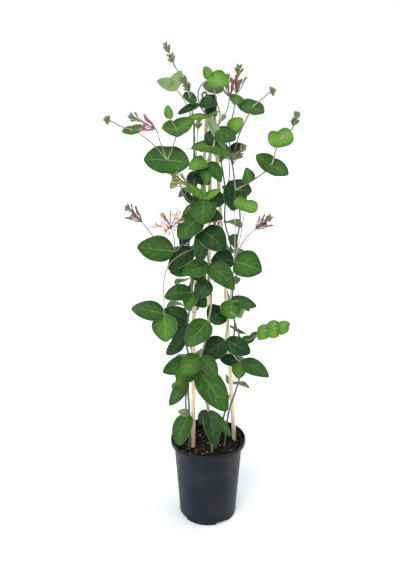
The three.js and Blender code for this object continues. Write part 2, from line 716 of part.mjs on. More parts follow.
export default plant;
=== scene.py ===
"""A potted honeysuckle on its cane tripod: the finish of every surface, as an add-on.

Run as a script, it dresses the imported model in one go, by calling every operator in turn.
Lengths in the tables are millimetres in the model's own frame; Blender works in metres.
"""

import math
import random

import bpy
from bpy.props import FloatProperty, FloatVectorProperty, IntProperty, PointerProperty
from bpy.types import Operator, Panel, PropertyGroup
from mathutils import Matrix, Vector


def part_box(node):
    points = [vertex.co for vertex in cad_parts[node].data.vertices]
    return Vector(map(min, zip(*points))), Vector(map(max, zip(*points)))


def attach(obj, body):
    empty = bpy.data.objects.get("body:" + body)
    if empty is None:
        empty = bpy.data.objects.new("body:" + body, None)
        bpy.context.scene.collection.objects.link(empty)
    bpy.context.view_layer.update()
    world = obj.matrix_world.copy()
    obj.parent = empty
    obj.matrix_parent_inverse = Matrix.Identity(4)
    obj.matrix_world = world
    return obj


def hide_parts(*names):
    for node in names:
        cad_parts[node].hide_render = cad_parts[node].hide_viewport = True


bl_info = {
    "name": "Potted honeysuckle",
    "version": (1, 0, 0),
    "blender": (4, 5, 0),
    "location": "View3D > Sidebar > Honeysuckle",
    "description": "Builds the leaves, stems, flower heads, pot and canes of a climbing honeysuckle",
    "category": "Add Mesh",
}

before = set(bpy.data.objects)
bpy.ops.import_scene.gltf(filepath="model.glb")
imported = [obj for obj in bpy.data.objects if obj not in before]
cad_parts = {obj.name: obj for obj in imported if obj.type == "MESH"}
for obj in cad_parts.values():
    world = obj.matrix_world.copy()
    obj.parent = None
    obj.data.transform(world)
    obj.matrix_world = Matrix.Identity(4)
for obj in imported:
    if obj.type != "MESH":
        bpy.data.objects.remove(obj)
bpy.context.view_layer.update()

MM = 0.001
TINY = 1e-6                  # a length that is taken as none
BODY = "root"
GOLDEN = math.pi * (3 - math.sqrt(5))
POT_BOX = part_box("pot")

# ------------------------------------------------------------------ the plant's plan

# How dark a leaf is, from dark to bright: partly the leaf's ageing, and partly painted shade, as
# leaves deep inside the plant and at its back are given DARK. A leaf with UNDER shows its pale
# underside.
DARK, FULL, FRESH, YOUNG, UNDER = 0.0, 0.35, 0.6, 1.0, -1.0


def stem(radius, path, leaves=(), discs=()):
    """One stem. leaves: (point of the path, x, y, z to the tip, width, tone from ageing and painted
    shade).
    discs, two leaves grown together round the stem: (point, tip, tip, width, tone from ageing and
    painted shade, lift, face)."""
    return {"radius": radius, "path": path, "leaves": leaves, "discs": discs}


# face: degrees round Z that the leaves look to. youth: how green each stem is, from bark to
# sage, and the last of them for all the rest. A side shoot starts on a stem before it.
VINES = {
    "vine_left": {"face": 250, "youth": (0.25, 0.7, 0.45), "stems": [
        stem(2.5, [(-37, -22, 125), (-37, -22, 160), (-37, -23, 230), (-39, -28, 305),
                   (-35, -42, 350), (-42, -40, 390), (-38, -38, 430), (-30, -46, 485),
                   (-32, -42, 530), (-27, -38, 565), (-22, -36, 605), (-28, -35, 645),
                   (-24, -26, 700), (-26, -24, 745), (-26, -22, 780)],
             [(2, -22, -28, -54, 38, FULL), (2, -22, -6, 10, 16, UNDER),
              (3, -35, -20, -45, 28, FULL), (4, -50, -20, -15, 34, FULL),
              (4, -20, -40, -26, 36, FRESH), (5, -40, 20, -35, 28, DARK), (6, -45, 5, 20, 31, DARK),
              (6, -30, 15, -55, 29, DARK), (7, -5, -25, -25, 29, FRESH), (7, -50, -10, -5, 32, FULL),
              (7, 26, -12, -24, 28, DARK), (8, -38, -10, -6, 30, FULL), (8, 24, 10, -22, 28, DARK),
              (9, -45, -20, -35, 38, DARK), (10, -30, -4, -36, 26, DARK),
              (11, -20, -4, -26, 10, FRESH), (11, -18, -2, 24, 13, DARK),
              (12, 26, -2, -22, 28, DARK), (12, -8, 16, -38, 26, DARK), (11, 6, 18, -40, 24, DARK)]),
        stem(1.5, [(-27, -38, 565), (-50, -50, 556), (-70, -60, 540), (-80, -60, 505),
                   (-80, -60, 480), (-80, -60, 450)],
             [(5, -60, 0, 10, 36, FULL), (5, 5, -20, -48, 47, FRESH)]),
        stem(1.6, [(-27, -38, 565), (-45, -50, 575), (-60, -60, 565), (-85, -60, 575),
                   (-100, -55, 594), (-115, -55, 614)],
             [(2, -66, -5, 8, 48, FULL)]),
        stem(1.2, [(-60, -60, 565), (-60, -60, 585), (-65, -60, 605)]),
        stem(1.7, [(-28, -35, 645), (-42, -47, 660), (-52, -54, 686), (-70, -60, 721)],
             [(2, -17, 6, -13, 16, UNDER)],
             [(3, (-40, -5, 2), (38, 0, -5), 52, FULL)]),
        stem(1.2, [(-42, -47, 660), (-36, -65, 680)]),
        stem(1.2, [(-70, -60, 721), (-95, -70, 750), (-125, -70, 770), (-140, -75, 775),
                   (-160, -75, 785)],
             (), [(2, (-18, -5, -2), (20, 0, 6), 18, FRESH)]),
        stem(1.2, [(-70, -60, 721), (-80, -72, 750), (-86, -82, 772)]),
        stem(1.2, [(-70, -60, 721), (-60, -60, 745), (-55, -50, 770), (-65, -55, 788)],
             [(3, -4, -4, 22, 15, YOUNG)],
             [(2, (-24, -12, 3), (31, 4, 17), 33, FRESH)]),
        stem(1.3, [(-26, -22, 780), (-33, -27, 820), (-38, -25, 842), (-40, -20, 855),
                   (-50, -15, 862), (-58, -10, 871)],
             (), [(1, (-12, -8, 3), (12, 4, -2), 24, FULL)]),
        stem(1.1, [(-33, -27, 820), (-30, -40, 828)]),
        stem(1.2, [(-26, -22, 780), (-45, -30, 822), (-60, -30, 840)],
             (), [(2, (-28, -5, 8), (14, 5, 25), 24, UNDER)]),
    ]},
    "vine_front": {"face": 270, "youth": (0.65, 0.5), "stems": [
        stem(2.3, [(8, -26, 125), (8, -26, 160), (0, -45, 250), (-10, -48, 290), (-18, -47, 335),
                   (-14, -52, 365), (-5, -56, 400), (0, -56, 435), (5, -56, 475), (0, -52, 510),
                   (0, -52, 540), (-5, -51, 570), (-12, -50, 600), (-14, -50, 625), (-8, -46, 655),
                   (-4, -46, 716), (7, -48, 742), (8, -38, 768), (6, -34, 773)],
             [(2, 14, -28, -62, 30, DARK), (2, -18, 0, -30, 25, DARK), (2, 46, -8, -52, 20, FULL),
              (4, 54, -33, -70, 50, FULL), (4, -44, -20, -20, 26, FRESH),
              (5, 31, -32, -32, 30, FULL), (5, -33, -36, -20, 38, FRESH),
              (7, -40, -30, -38, 43, FULL), (7, 34, 26, 12, 42, DARK), (9, -24, -14, -30, 34, DARK),
              (10, 46, -25, -40, 38, FULL), (10, -46, -28, -12, 34, FULL),
              (12, 42, -15, -30, 46, DARK), (12, -5, -18, -62, 26, DARK),
              (13, -40, -18, -36, 42, FULL), (13, 38, -12, 0, 31, DARK),
              (14, -2, -32, -38, 44, FULL), (14, 38, 2, 0, 34, DARK), (14, -37, -8, 32, 15, YOUNG),
              (14, 26, -14, 18, 15, YOUNG), (14, -2, -14, 26, 9, YOUNG),
              (15, 0, -22, -34, 21, FRESH), (15, 25, -20, -30, 25, FULL),
              (15, -30, -20, -8, 26, YOUNG), (17, 36, -18, -12, 32, FULL),
              (17, -10, -8, -24, 22, DARK)],
             [(16, (-38, 0, 0), (28, -12, -12), 38, FRESH, 62)]),
        stem(1.5, [(8, -38, 768), (-4, -28, 792), (-17, -26, 812), (-18, -28, 833), (-10, -28, 846),
                   (-1, -30, 850), (1, -30, 852)],
             [(1, 32, -24, -54, 16, UNDER), (1, -36, -14, -4, 13, YOUNG), (1, 20, -10, 8, 7, YOUNG),
              (2, -36, -18, -16, 14, DARK), (2, 30, -12, 0, 24, DARK), (5, 33, -12, -6, 35, YOUNG),
              (5, -7, 2, 22, 16, YOUNG)]),
        stem(1.3, [(9, -39, 765), (18, -26, 792), (12, -24, 816), (8, -20, 838)],
             (), [(3, (-20, 0, 4), (17, 2, -4), 22, DARK, 30, 90)]),
        stem(1.2, [(8, -42, 758), (20, -28, 786), (30, -20, 802), (34, -16, 822)],
             [(1, 9, -8, 6, 12, UNDER)]),
    ]},
    "vine_right": {"face": 285, "youth": (0.3, 0.8, 0.45, 0.75, 0.45), "stems": [
        stem(2.2, [(34, -8, 125), (34, -8, 160), (42, -10, 235), (52, -12, 270), (60, -16, 305),
                   (60, -22, 340), (60, -26, 385), (48, -18, 425), (44, -14, 470), (52, -18, 520),
                   (50, -24, 570), (55, -30, 620), (46, -36, 668), (40, -28, 710), (32, -24, 735)],
             [(5, 58, -8, -26, 32, FULL), (5, -4, -26, -22, 28, FRESH), (5, -40, 12, 4, 24, DARK),
              (6, 28, 8, 2, 16, FULL), (9, 20, 24, 30, 28, FULL), (10, -16, -14, 16, 26, FULL),
              (14, 32, -8, 8, 18, DARK)],
             [(12, (-6, -14, -34), (28, -6, 0), 42, DARK)]),
        stem(1.5, [(60, -22, 340), (44, -32, 364), (32, -36, 390), (37, -36, 427), (39, -34, 468),
                   (43, -34, 505), (45, -38, 541), (46, -42, 590), (45, -42, 640), (46, -36, 668)],
             [(2, -42, -14, -30, 42, DARK), (2, 46, -16, -18, 36, DARK), (4, 50, 0, -12, 24, FULL),
              (4, 3, -20, -30, 38, FRESH), (4, 22, -10, -32, 34, UNDER), (6, 50, -14, -14, 54, FULL),
              (6, -42, -2, 2, 36, DARK)]),
        stem(1.2, [(60, -26, 385), (78, -36, 392), (90, -40, 402), (100, -42, 410), (118, -45, 416),
                   (136, -45, 420)],
             [(1, 14, 10, 12, 12, FULL)],
             [(3, (0, -3, 17), (0, 3, -17), 25, YOUNG), (4, (0, 3, 17), (0, -3, -17), 25, YOUNG),
              (5, (3, -3, 15), (3, 3, -14), 23, YOUNG)]),
        stem(1.3, [(45, -38, 541), (54, -43, 580), (59, -50, 617), (62, -58, 645)],
             (), [(3, (-20, -4, 8), (22, 0, -5), 24, YOUNG, 20)]),
        stem(1.3, [(45, -38, 541), (56, -42, 570), (67, -44, 588), (80, -44, 600)]),
        stem(1.5, [(40, -28, 710), (34, -30, 765), (42, -30, 806), (45, -27, 827)],
             [(1, 22, -12, 24, 27, YOUNG), (3, -4, -16, -18, 24, FRESH)]),
        stem(1.4, [(40, -28, 710), (50, -34, 760), (65, -32, 793), (72, -30, 806), (86, -30, 818),
                   (100, -26, 830)],
             (), [(3, (-26, 4, 6), (20, -6, -8), 30, FULL)]),
        stem(1.6, [(46, -36, 668), (68, -38, 681), (84, -40, 692), (105, -44, 711), (112, -42, 735),
                   (119, -40, 753), (129, -40, 763), (139, -40, 771)],
             [(1, -4, -10, 27, 26, FRESH)],
             [(3, (-26, 4, 18), (30, -8, -14), 34, FULL), (5, (-22, -4, 0), (22, 0, 10), 34, YOUNG)]),
        stem(1.2, [(40, -28, 710), (43, -42, 716)]),
    ]},
    "vine_back_left": {"face": 130, "youth": (0.25, 0.5), "stems": [
        stem(2.4, [(-34, 26, 125), (-34, 26, 160), (-46, 34, 215), (-42, 50, 270), (-34, 62, 320),
                   (-44, 48, 375), (-46, 40, 430), (-32, 52, 485), (-40, 42, 545), (-32, 40, 600),
                   (-24, 40, 655), (-28, 28, 710), (-26, 24, 755)],
             [(3, -34, 20, -26, 36, FULL), (4, -36, 12, -14, 36, FULL), (4, 16, 44, -26, 36, FULL),
              (5, -30, 26, -22, 38, DARK), (5, 8, 46, -34, 38, FRESH), (5, 24, -26, -16, 30, DARK),
              (6, -38, 16, -6, 38, FULL), (6, 24, 34, -16, 34, FULL), (7, -34, 30, -24, 38, DARK),
              (7, 28, 32, -14, 36, FULL), (7, 2, -34, -20, 30, DARK), (8, -36, -2, -16, 36, FULL),
              (8, 6, 46, -26, 38, FRESH), (10, -34, 14, -10, 32, FULL), (10, 6, -30, -14, 28, DARK),
              (11, 24, 8, -2, 28, DARK)]),
        stem(1.5, [(-40, 42, 545), (-36, 66, 562), (-30, 88, 588), (-26, 98, 622)],
             (), [(2, (-30, -10, 4), (24, 10, -2), 42, FULL, 50)]),
        stem(1.4, [(-24, 40, 655), (-26, 62, 690), (-24, 78, 728), (-22, 84, 762)],
             (), [(2, (-14, 14, 0), (28, -4, 4), 34, YOUNG, 50)]),
    ]},
    "vine_back_right": {"face": 50, "youth": (0.25, 0.5), "stems": [
        stem(2.4, [(26, 34, 125), (26, 34, 160), (38, 45, 215), (48, 40, 270), (40, 54, 325),
                   (52, 44, 380), (44, 36, 435), (30, 48, 490), (42, 42, 545), (30, 36, 600),
                   (30, 32, 655), (22, 38, 710), (14, 30, 755)],
             [(3, 36, 12, -22, 36, FULL), (3, -6, 46, -24, 36, FRESH), (4, 34, 26, -26, 38, FULL),
              (4, -24, 38, -12, 34, FULL), (5, 14, 44, -18, 38, DARK), (6, 38, 14, -16, 38, FULL),
              (6, -6, 46, -6, 36, FULL), (7, 24, 38, -24, 38, DARK), (8, -22, 38, -8, 34, FULL),
              (8, 34, 22, -26, 38, FRESH), (8, 8, -32, -14, 26, DARK), (9, 34, 18, -14, 34, FULL),
              (10, 10, 40, -8, 32, FRESH), (10, 8, -28, -12, 24, DARK), (11, -16, -6, 26, 26, DARK)]),
        stem(1.5, [(30, 48, 490), (22, 72, 505), (13, 90, 535), (11, 96, 568)],
             (), [(2, (32, -14, 2), (-30, 16, 2), 40, FULL, 50)]),
        stem(1.4, [(30, 32, 655), (38, 56, 685), (36, 76, 718), (30, 84, 752)],
             (), [(2, (24, -8, 2), (-28, 8, 2), 36, YOUNG, 50)]),
    ]},
}

# Flower heads: kind, the stem end that carries it, from there to its far end, and how
# pink it is, from brown-red 0 to clear pink 1. A head at -1 is yellow-green throughout.
HEADS = {
    "head_top": ("spray", (-58, -10, 871), (-15, 0, 34), 0.3),
    "head_top_left": ("spray", (-30, -40, 828), (-13, -7, 20), 0.2),
    "head_tall": ("tubes", (45, -27, 827), (3, -6, 42), 0.0),
    "head_tall_side": ("tubes", (34, -16, 822), (-4, 14, 32), 0.1),
    "head_far_right": ("ball", (100, -26, 830), (9, 0, 5), 0.0),
    "head_far_left": ("ball", (-160, -75, 785), (-11, 0, 3), 0.1),
    "head_pink": ("tubes", (-86, -82, 772), (-38, -10, 20), 1.0),
    "head_right_top": ("spray", (139, -40, 771), (6, 0, 22), 0.2),
    "head_left": ("tubes", (-115, -55, 614), (-24, 0, 26), 0.4),
    "head_open": ("open", (-65, -60, 605), (-6, -8, 18), 1.0),
    "head_right": ("tubes", (80, -44, 600), (24, -4, 22), 0.4),
    "head_yellow": ("tubes", (-36, -65, 680), (-20, -16, 16), -1),
    "head_inner": ("spray", (43, -42, 716), (14, -10, 26), 0.3),
    "head_back_left": ("tubes", (-26, 98, 622), (-2, 10, 24), 0.6),
    "head_back_top": ("spray", (-22, 84, 762), (2, 8, 22), 0.3),
    "head_back_right": ("tubes", (11, 96, 568), (2, 12, 23), 0.3),
    "head_back_high": ("ball", (30, 84, 752), (0, 4, 10), 0.2),
}

# Canes: where each comes out of the compost, the joint at which it is bowed, and its tip.
CANES = {
    "cane_left": ((-30, -14, 148), (-28, -7, 420), (-3.2, 4.2, 812)),
    "cane_right": ((54, 19, 148), (35.5, 13, 420), (7.2, 4.2, 812)),
    "cane_back": ((-1, 52, 148), (0, 36, 420), (2, 12, 812)),
}

# ------------------------------------------------------------------ modelling helpers


def settings():
    return bpy.context.scene.honeysuckle


def clamped(value):
    """The number, kept between 0 and 1."""
    return min(1.0, max(0.0, value))


def start_fresh():
    """Object mode with nothing selected: an operator acts on all that is selected."""
    if bpy.context.mode != "OBJECT":
        bpy.ops.object.mode_set(mode="OBJECT")
    bpy.ops.object.select_all(action="DESELECT")


def choose(piece):
    """Object mode with this piece alone selected, and active."""
    start_fresh()
    piece.select_set(True)
    bpy.context.view_layer.objects.active = piece


def begin(piece_name):
    """Names the primitive just added and opens it for shaping, with nothing selected."""
    piece = bpy.context.active_object
    piece.name = piece.data.name = piece_name
    bpy.ops.object.mode_set(mode="EDIT")
    bpy.ops.mesh.select_mode(type="VERT")
    bpy.ops.mesh.select_all(action="DESELECT")
    return piece


def pick(piece, wanted):
    """Selects, in edit mode, the vertices whose place is wanted."""
    bpy.ops.object.mode_set(mode="OBJECT")
    mesh = piece.data
    mesh.polygons.foreach_set("select", [False] * len(mesh.polygons))
    mesh.edges.foreach_set("select", [False] * len(mesh.edges))
    mesh.vertices.foreach_set("select", [bool(wanted(v.co)) for v in mesh.vertices])
    bpy.ops.object.mode_set(mode="EDIT")


def finish_mesh(piece, smooth_angle=None, outward=True, merge=TINY):
    """Merges doubles, turns the faces outwards, leaves edit mode and shades the piece."""
    bpy.ops.mesh.select_all(action="SELECT")
    bpy.ops.mesh.remove_doubles(threshold=merge)
    if outward:
        bpy.ops.mesh.normals_make_consistent(inside=False)
    bpy.ops.mesh.select_all(action="DESELECT")
    bpy.ops.object.mode_set(mode="OBJECT")
    shade(piece, smooth_angle)
    return piece


def shade(piece, smooth_angle=None):
    """Smooth all over, or only where faces meet at less than the angle."""
    choose(piece)
    if smooth_angle is None:
        bpy.ops.object.shade_smooth()
    else:
        bpy.ops.object.shade_smooth_by_angle(angle=smooth_angle)
    piece.select_set(False)


def add_modifier(piece, kind, **values):
    """Adds a modifier with these settings and applies it."""
    choose(piece)
    modifier = piece.modifiers.new(kind.title(), kind)
    for name, value in values.items():
        setattr(modifier, name, value)
    bpy.ops.object.modifier_apply(modifier=modifier.name)
    piece.select_set(False)


def settle(piece):
    """Moves a piece's place, turn and size into its mesh."""
    piece.data.transform(piece.matrix_world)
    piece.matrix_world = Matrix.Identity(4)


def mark(mesh, name, values):
    """Gives each point of a mesh a number that its material reads."""
    mesh.attributes.new(name, "FLOAT", "POINT").data.foreach_set("value", values)


def turned(piece_name, profile, sides):
    """A shape turned round +Z: a circle is extruded from ring to ring of the profile,
    a list of (radius, height), and both its ends are closed."""
    start_fresh()
    (radius, height), *rest = profile
    bpy.ops.mesh.primitive_circle_add(
        vertices=sides, radius=radius, fill_type="NGON", location=(0, 0, 0)
    )
    piece = begin(piece_name)
    bpy.ops.mesh.select_all(action="SELECT")
    bpy.ops.transform.translate(value=(0, 0, height))
    for next_radius, next_height in rest:
        bpy.ops.mesh.extrude_edges_move(
            TRANSFORM_OT_translate={"value": (0, 0, next_height - height)}
        )
        ratio = next_radius / radius
        bpy.ops.transform.resize(
            value=(ratio, ratio, 1), center_override=(0, 0, next_height)
        )
        radius, height = next_radius, next_height
    bpy.ops.mesh.edge_face_add()
    return finish_mesh(piece)


def take_shape(piece):
    """Keeps the mesh of a modelled piece for copies, and removes the piece itself."""
    shape = piece.data.copy()
    shape.name = piece.name + "_shape"
    bpy.data.objects.remove(piece)
    return shape


def copy_of(shape, piece_name, place, **marks):
    """A copy of a modelled shape, with a mesh of its own. place moves each of its points;
    marks are numbers that the copy's material reads."""
    mesh = shape.copy()
    mesh.name = piece_name
    for vertex in mesh.vertices:
        vertex.co = place(vertex.co)
    for name, value in marks.items():
        mark(mesh, name, [value] * len(mesh.vertices))
    piece = bpy.data.objects.new(piece_name, mesh)
    bpy.context.scene.collection.objects.link(piece)
    return piece


def joined(piece_name, parts):
    """Several parts made one piece with one mesh."""
    piece = parts[0]
    choose(piece)
    for part in parts:
        part.select_set(True)
    if len(parts) > 1:
        bpy.ops.object.join()
    piece.name = piece.data.name = piece_name
    piece.select_set(False)
    return piece


def fit_out(piece, materials, nodes):
    """Gives a finished piece its materials and its body, and hides the nodes of the model that it
    stands for.
    """
    piece.data.materials.clear()
    for material in materials:
        piece.data.materials.append(material)
    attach(piece, BODY)
    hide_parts(*nodes)


def standing_frame(at, along, towards):
    """A function that stands a shape made along +Z at a point, its +Z along `along` and
    its +X as nearly as possible towards `towards`."""
    up = Vector(along).normalized()
    side = Vector(towards)
    side = side - up * side.dot(up)
    if side.length < TINY:
        side = up.orthogonal()
    side.normalize()
    turn = Matrix((side, up.cross(side), up)).transposed()
    origin = Vector(at)
    return lambda co: origin + turn @ co


# ------------------------------------------------------------------ shader helpers


class Field:
    """A number, colour or vector that may change over a surface."""

    def __init__(self, recipe, socket):
        self.recipe = recipe
        self.socket = socket

    def math(self, operation, *values):
        return self.recipe.node("Math", {"operation": operation}, dict(enumerate(values)))

    def __add__(self, other):
        return self.math("ADD", self, other)

    def __mul__(self, other):
        return self.math("MULTIPLY", self, other)

    def __sub__(self, other):
        return self.math("SUBTRACT", self, other)

    def __rsub__(self, other):
        return self.math("SUBTRACT", other, self)

    def __pow__(self, other):
        return self.math("POWER", self, other)

    __radd__ = __add__
    __rmul__ = __mul__

    def size(self):
        return self.math("ABSOLUTE", self)

    def fraction(self):
        return self.math("FRACT", self)

    def step(self, low, high, to_low=0.0, to_high=1.0):
        """Eases from one value to another while this goes from low to high."""
        return self.recipe.node(
            "MapRange",
            {"interpolation_type": "SMOOTHSTEP"},
            {0: self, 1: low, 2: high, 3: to_low, 4: to_high},
        )

    def fade(self, low, high):
        """Eases from 1 down to 0 while this goes from low to high."""
        return self.step(low, high, 1.0, 0.0)

    def marked(self):
        """1 where a mark is at -1, which no other use of it comes near."""
        return self.fade(-0.6, -0.4)


class Recipe:
    """One material under construction."""

    def __init__(self, name, **constants):
        self.material = bpy.data.materials.new(name)
        self.material.use_nodes = True
        self.nodes = self.material.node_tree.nodes
        self.links = self.material.node_tree.links
        self.shader = self.nodes["Principled BSDF"]
        for socket, value in constants.items():
            self.shader.inputs[socket.replace("_", " ")].default_value = value

    def node(self, kind, chosen=None, sockets=None, output=0):
        """Adds a node: its settings are chosen first, then its sockets get values or links."""
        made = self.nodes.new("ShaderNode" + kind)
        for name, value in (chosen or {}).items():
            if name == "stops":
                self.set_stops(made.color_ramp, value)
            else:
                setattr(made, name, value)
        for key, value in (sockets or {}).items():
            if isinstance(value, Field):
                self.links.new(value.socket, made.inputs[key])
            else:
                made.inputs[key].default_value = value
        return Field(self, made.outputs[output])

    @staticmethod
    def set_stops(ramp, stops):
        while len(ramp.elements) < len(stops):
            ramp.elements.new(0.5)
        for element, (position, colour) in zip(ramp.elements, stops):
            element.position = position
            element.color = (*colour, 1)

    def place(self, scale=(1, 1, 1)):
        """Where a point is on the object, squeezed where a pattern is drawn out."""
        where = self.node("TexCoord", output="Object")
        return self.node("Mapping", {}, {"Vector": where, "Scale": scale})

    def uv(self):
        """The piece's own map, as (across, along)."""
        where = self.node("TexCoord", output="UV")
        split = self.node("SeparateXYZ", {}, {0: where})
        return split, Field(self, split.socket.node.outputs[1])

    def value_of(self, attribute):
        return self.node("Attribute", {"attribute_name": attribute}, output="Fac")

    def noise(self, where, scale, detail=2.0, roughness=0.5):
        return self.node(
            "TexNoise",
            {},
            {"Vector": where, "Scale": scale, "Detail": detail, "Roughness": roughness},
        )

    def ramp(self, factor, stops):
        return self.node("ValToRGB", {"stops": stops}, {0: factor})

    def mix(self, factor, first, second):
        colours = {key: self.as_colour(c) for key, c in ((6, first), (7, second))}
        return self.node("Mix", {"data_type": "RGBA"}, {0: factor, **colours}, output=2)

    @staticmethod
    def as_colour(colour):
        return colour if isinstance(colour, Field) else (*colour, 1)

    def feed(self, **fields):
        """Links what changes over the surface to the shader."""
        for socket, field in fields.items():
            self.links.new(field.socket, self.shader.inputs[socket.replace("_", " ")])

    def bump(self, height, distance, strength=1.0):
        bumped = self.node(
            "Bump", {}, {"Height": height, "Distance": distance, "Strength": strength}
        )
        self.feed(Normal=bumped)


def shaded(colour, factor):
    return tuple(channel * factor for channel in colour)


# ------------------------------------------------------------------ finishes

# Side veins: how many pairs, how they bend, how far they slant and how much they wander.
VEIN_PAIRS, VEIN_BEND, VEIN_SLANT, VEIN_WANDER = 5.5, 1.4, 1.7, 0.5


def vein_pattern(recipe):
    """Midrib, side veins and margin of a leaf, from its own map."""
    across, along = recipe.uv()
    off_rib = (across - 0.5).size() * 2.0
    rib = off_rib.fade(0.01, 0.06) * along.step(0.3, 1.0, 1.0, 0.2)
    wander = recipe.noise(recipe.place(), 110.0, 1.0) * VEIN_WANDER
    run = (along * VEIN_PAIRS - off_rib**VEIN_BEND * VEIN_SLANT + wander).fraction()
    vein = (run - 0.5).size().fade(0.01, 0.1) * off_rib.fade(0.55, 0.92)
    margin = off_rib.step(0.93, 0.99)
    return rib, vein, margin, off_rib


def cloudy(recipe, where, colour, darkest):
    """A colour that drifts to a darker one and back."""
    return recipe.mix(recipe.noise(where, 60.0).step(0.3, 0.7), colour, shaded(colour, darkest))


def leaf_top():
    look = settings().leaves
    recipe = Recipe("leaf_top", Roughness=0.42, Specular_IOR_Level=0.15)
    rib, vein, margin, off_rib = vein_pattern(recipe)
    # The tone mark holds the leaf's ageing and also painted shade: leaves deep inside and at the back
    # of the plant are set darker.
    age_and_shade = recipe.value_of("leaf_age")
    where = recipe.place()
    blade = recipe.ramp(
        age_and_shade + (recipe.noise(where, 30.0) - 0.5) * 0.5,
        [(0.0, look.old_colour), (0.35, look.full_colour), (0.65, look.fresh_colour),
         (1.0, look.young_colour)],
    )
    # Darker towards the margins: partly the blade's own darker edge, and partly painted shade of the
    # cupped blade.
    rimmed = recipe.mix(off_rib.step(0.3, 1.0) * 0.55, blade, look.old_colour)
    # Paler patches here and there: painted highlights.
    highlighted = recipe.mix(recipe.noise(where, 70.0, 3.0).step(0.5, 0.72) * 0.3, rimmed, look.fresh_colour)
    mottled = recipe.mix(
        recipe.noise(where, 420.0, 3.0).step(0.42, 0.7) * 0.4, highlighted, shaded(look.full_colour, 0.5)
    )
    pale = cloudy(recipe, where, look.under_colour, 0.75)
    face = recipe.mix(age_and_shade.marked(), mottled, pale)
    shown = age_and_shade.step(0.0, 0.9, 0.42, 1.0)
    veined = recipe.mix((rib * 0.6 + vein * 0.28) * shown, face, look.vein_colour)
    recipe.feed(
        Base_Color=recipe.mix(margin * 0.45, veined, look.vein_colour),
        Roughness=recipe.noise(where, 260.0).step(0.3, 0.7, 0.36, 0.56),
    )
    puckers = recipe.noise(where, 600.0, 2.0) * 0.35
    recipe.bump(puckers - rib * 0.9 - vein * 0.55 + off_rib * 0.05, 0.8 * MM, 0.65)
    return recipe.material


def leaf_underside():
    look = settings().leaves
    recipe = Recipe("leaf_underside", Roughness=0.6, Specular_IOR_Level=0.25)
    rib, vein, margin, _ = vein_pattern(recipe)
    age_and_shade = recipe.value_of("leaf_age")
    where = recipe.place()
    pale = cloudy(recipe, where, look.under_colour, 0.78)
    green = recipe.mix(age_and_shade.step(0.0, 0.8, 0.6, 0.25), pale, look.full_colour)
    lines = rib * 0.55 + vein * 0.3 + margin * 0.15
    recipe.feed(Base_Color=recipe.mix(lines, green, look.vein_colour))
    recipe.bump(rib + vein * 0.7 + recipe.noise(where, 700.0) * 0.2, 0.5 * MM, 0.6)
    return recipe.material


def stem_bark():
    look = settings().stems
    recipe = Recipe("stem_bark", Roughness=0.55)
    youth = recipe.value_of("stem_youth")
    where = recipe.place()
    streaks = recipe.noise(recipe.place((1.0, 1.0, 0.12)), 900.0, 3.0)
    skin = recipe.ramp(
        youth + (recipe.noise(where, 22.0) - 0.5) * 0.3,
        [(0.0, look.old_colour), (0.4, look.purple_colour), (1.0, look.young_colour)],
    )
    recipe.feed(
        Base_Color=recipe.mix(streaks.step(0.45, 0.75) * 0.45, skin, shaded(look.old_colour, 0.6)),
        Roughness=streaks.step(0.3, 0.8, 0.45, 0.7),
    )
    recipe.bump(streaks, 0.3 * MM, 0.6)
    return recipe.material


def bud_skin():
    """Buds and tubes: green at ripe 0, brown-red at ripe 1 and pink with blush 1, or
    yellow-green with blush -1."""
    look = settings().heads
    recipe = Recipe("bud_skin", Roughness=0.45, Specular_IOR_Level=0.4)
    _, along = recipe.uv()
    ripe = recipe.value_of("ripe")
    blush = recipe.value_of("blush")
    where = recipe.place()
    flush = recipe.noise(where, 160.0, 2.0)
    green = recipe.ramp(
        along + (flush - 0.5) * 0.3,
        [(0.0, look.bud_colour), (0.6, look.bud_colour), (0.95, look.bud_tip_colour)],
    )
    red = recipe.mix(blush, look.tube_colour, look.pink_colour)
    stripes = flush.step(0.52, 0.72) * (blush * 0.35 + 0.2)
    striped = recipe.mix(stripes, red, look.pale_pink_colour)
    footed = recipe.mix(along.step(0.05, 0.3, 0.7, 0.0), striped, look.bud_tip_colour)
    tube = recipe.mix(blush.marked(), footed, look.yellow_colour)
    recipe.feed(Base_Color=recipe.mix(ripe, green, tube))
    recipe.bump(recipe.noise(recipe.place((1.0, 1.0, 0.3)), 1500.0, 2.0), 0.2 * MM, 0.5)
    return recipe.material


def petal_skin():
    """Lips of an open flower: cream inside towards the throat, coral at the tip."""
    look = settings().heads
    recipe = Recipe("petal_skin", Roughness=0.5, Sheen_Weight=0.15)
    across, along = recipe.uv()
    where = recipe.place()
    colour = recipe.ramp(
        along + (recipe.noise(where, 220.0) - 0.5) * 0.35,
        [(0.0, look.cream_colour), (0.35, look.cream_colour), (0.8, look.coral_colour),
         (1.0, look.coral_colour)],
    )
    lines = ((across * 7.0).fraction() - 0.5).size().fade(0.05, 0.2)
    recipe.feed(Base_Color=recipe.mix(lines * 0.25, colour, look.pink_colour))
    recipe.bump(lines, 0.2 * MM, 0.5)
    return recipe.material


def stamen_skin():
    """Threads of an open flower, with an anther at the end."""
    look = settings().heads
    recipe = Recipe("stamen_skin", Roughness=0.6)
    _, along = recipe.uv()
    grain = recipe.noise(recipe.place(), 900.0)
    colour = recipe.mix(along.step(0.8, 0.9), look.pale_pink_colour, look.anther_colour)
    recipe.feed(Base_Color=recipe.mix(grain * 0.3, colour, look.tube_colour))
    recipe.bump(grain, 0.2 * MM, 0.6)
    return recipe.material


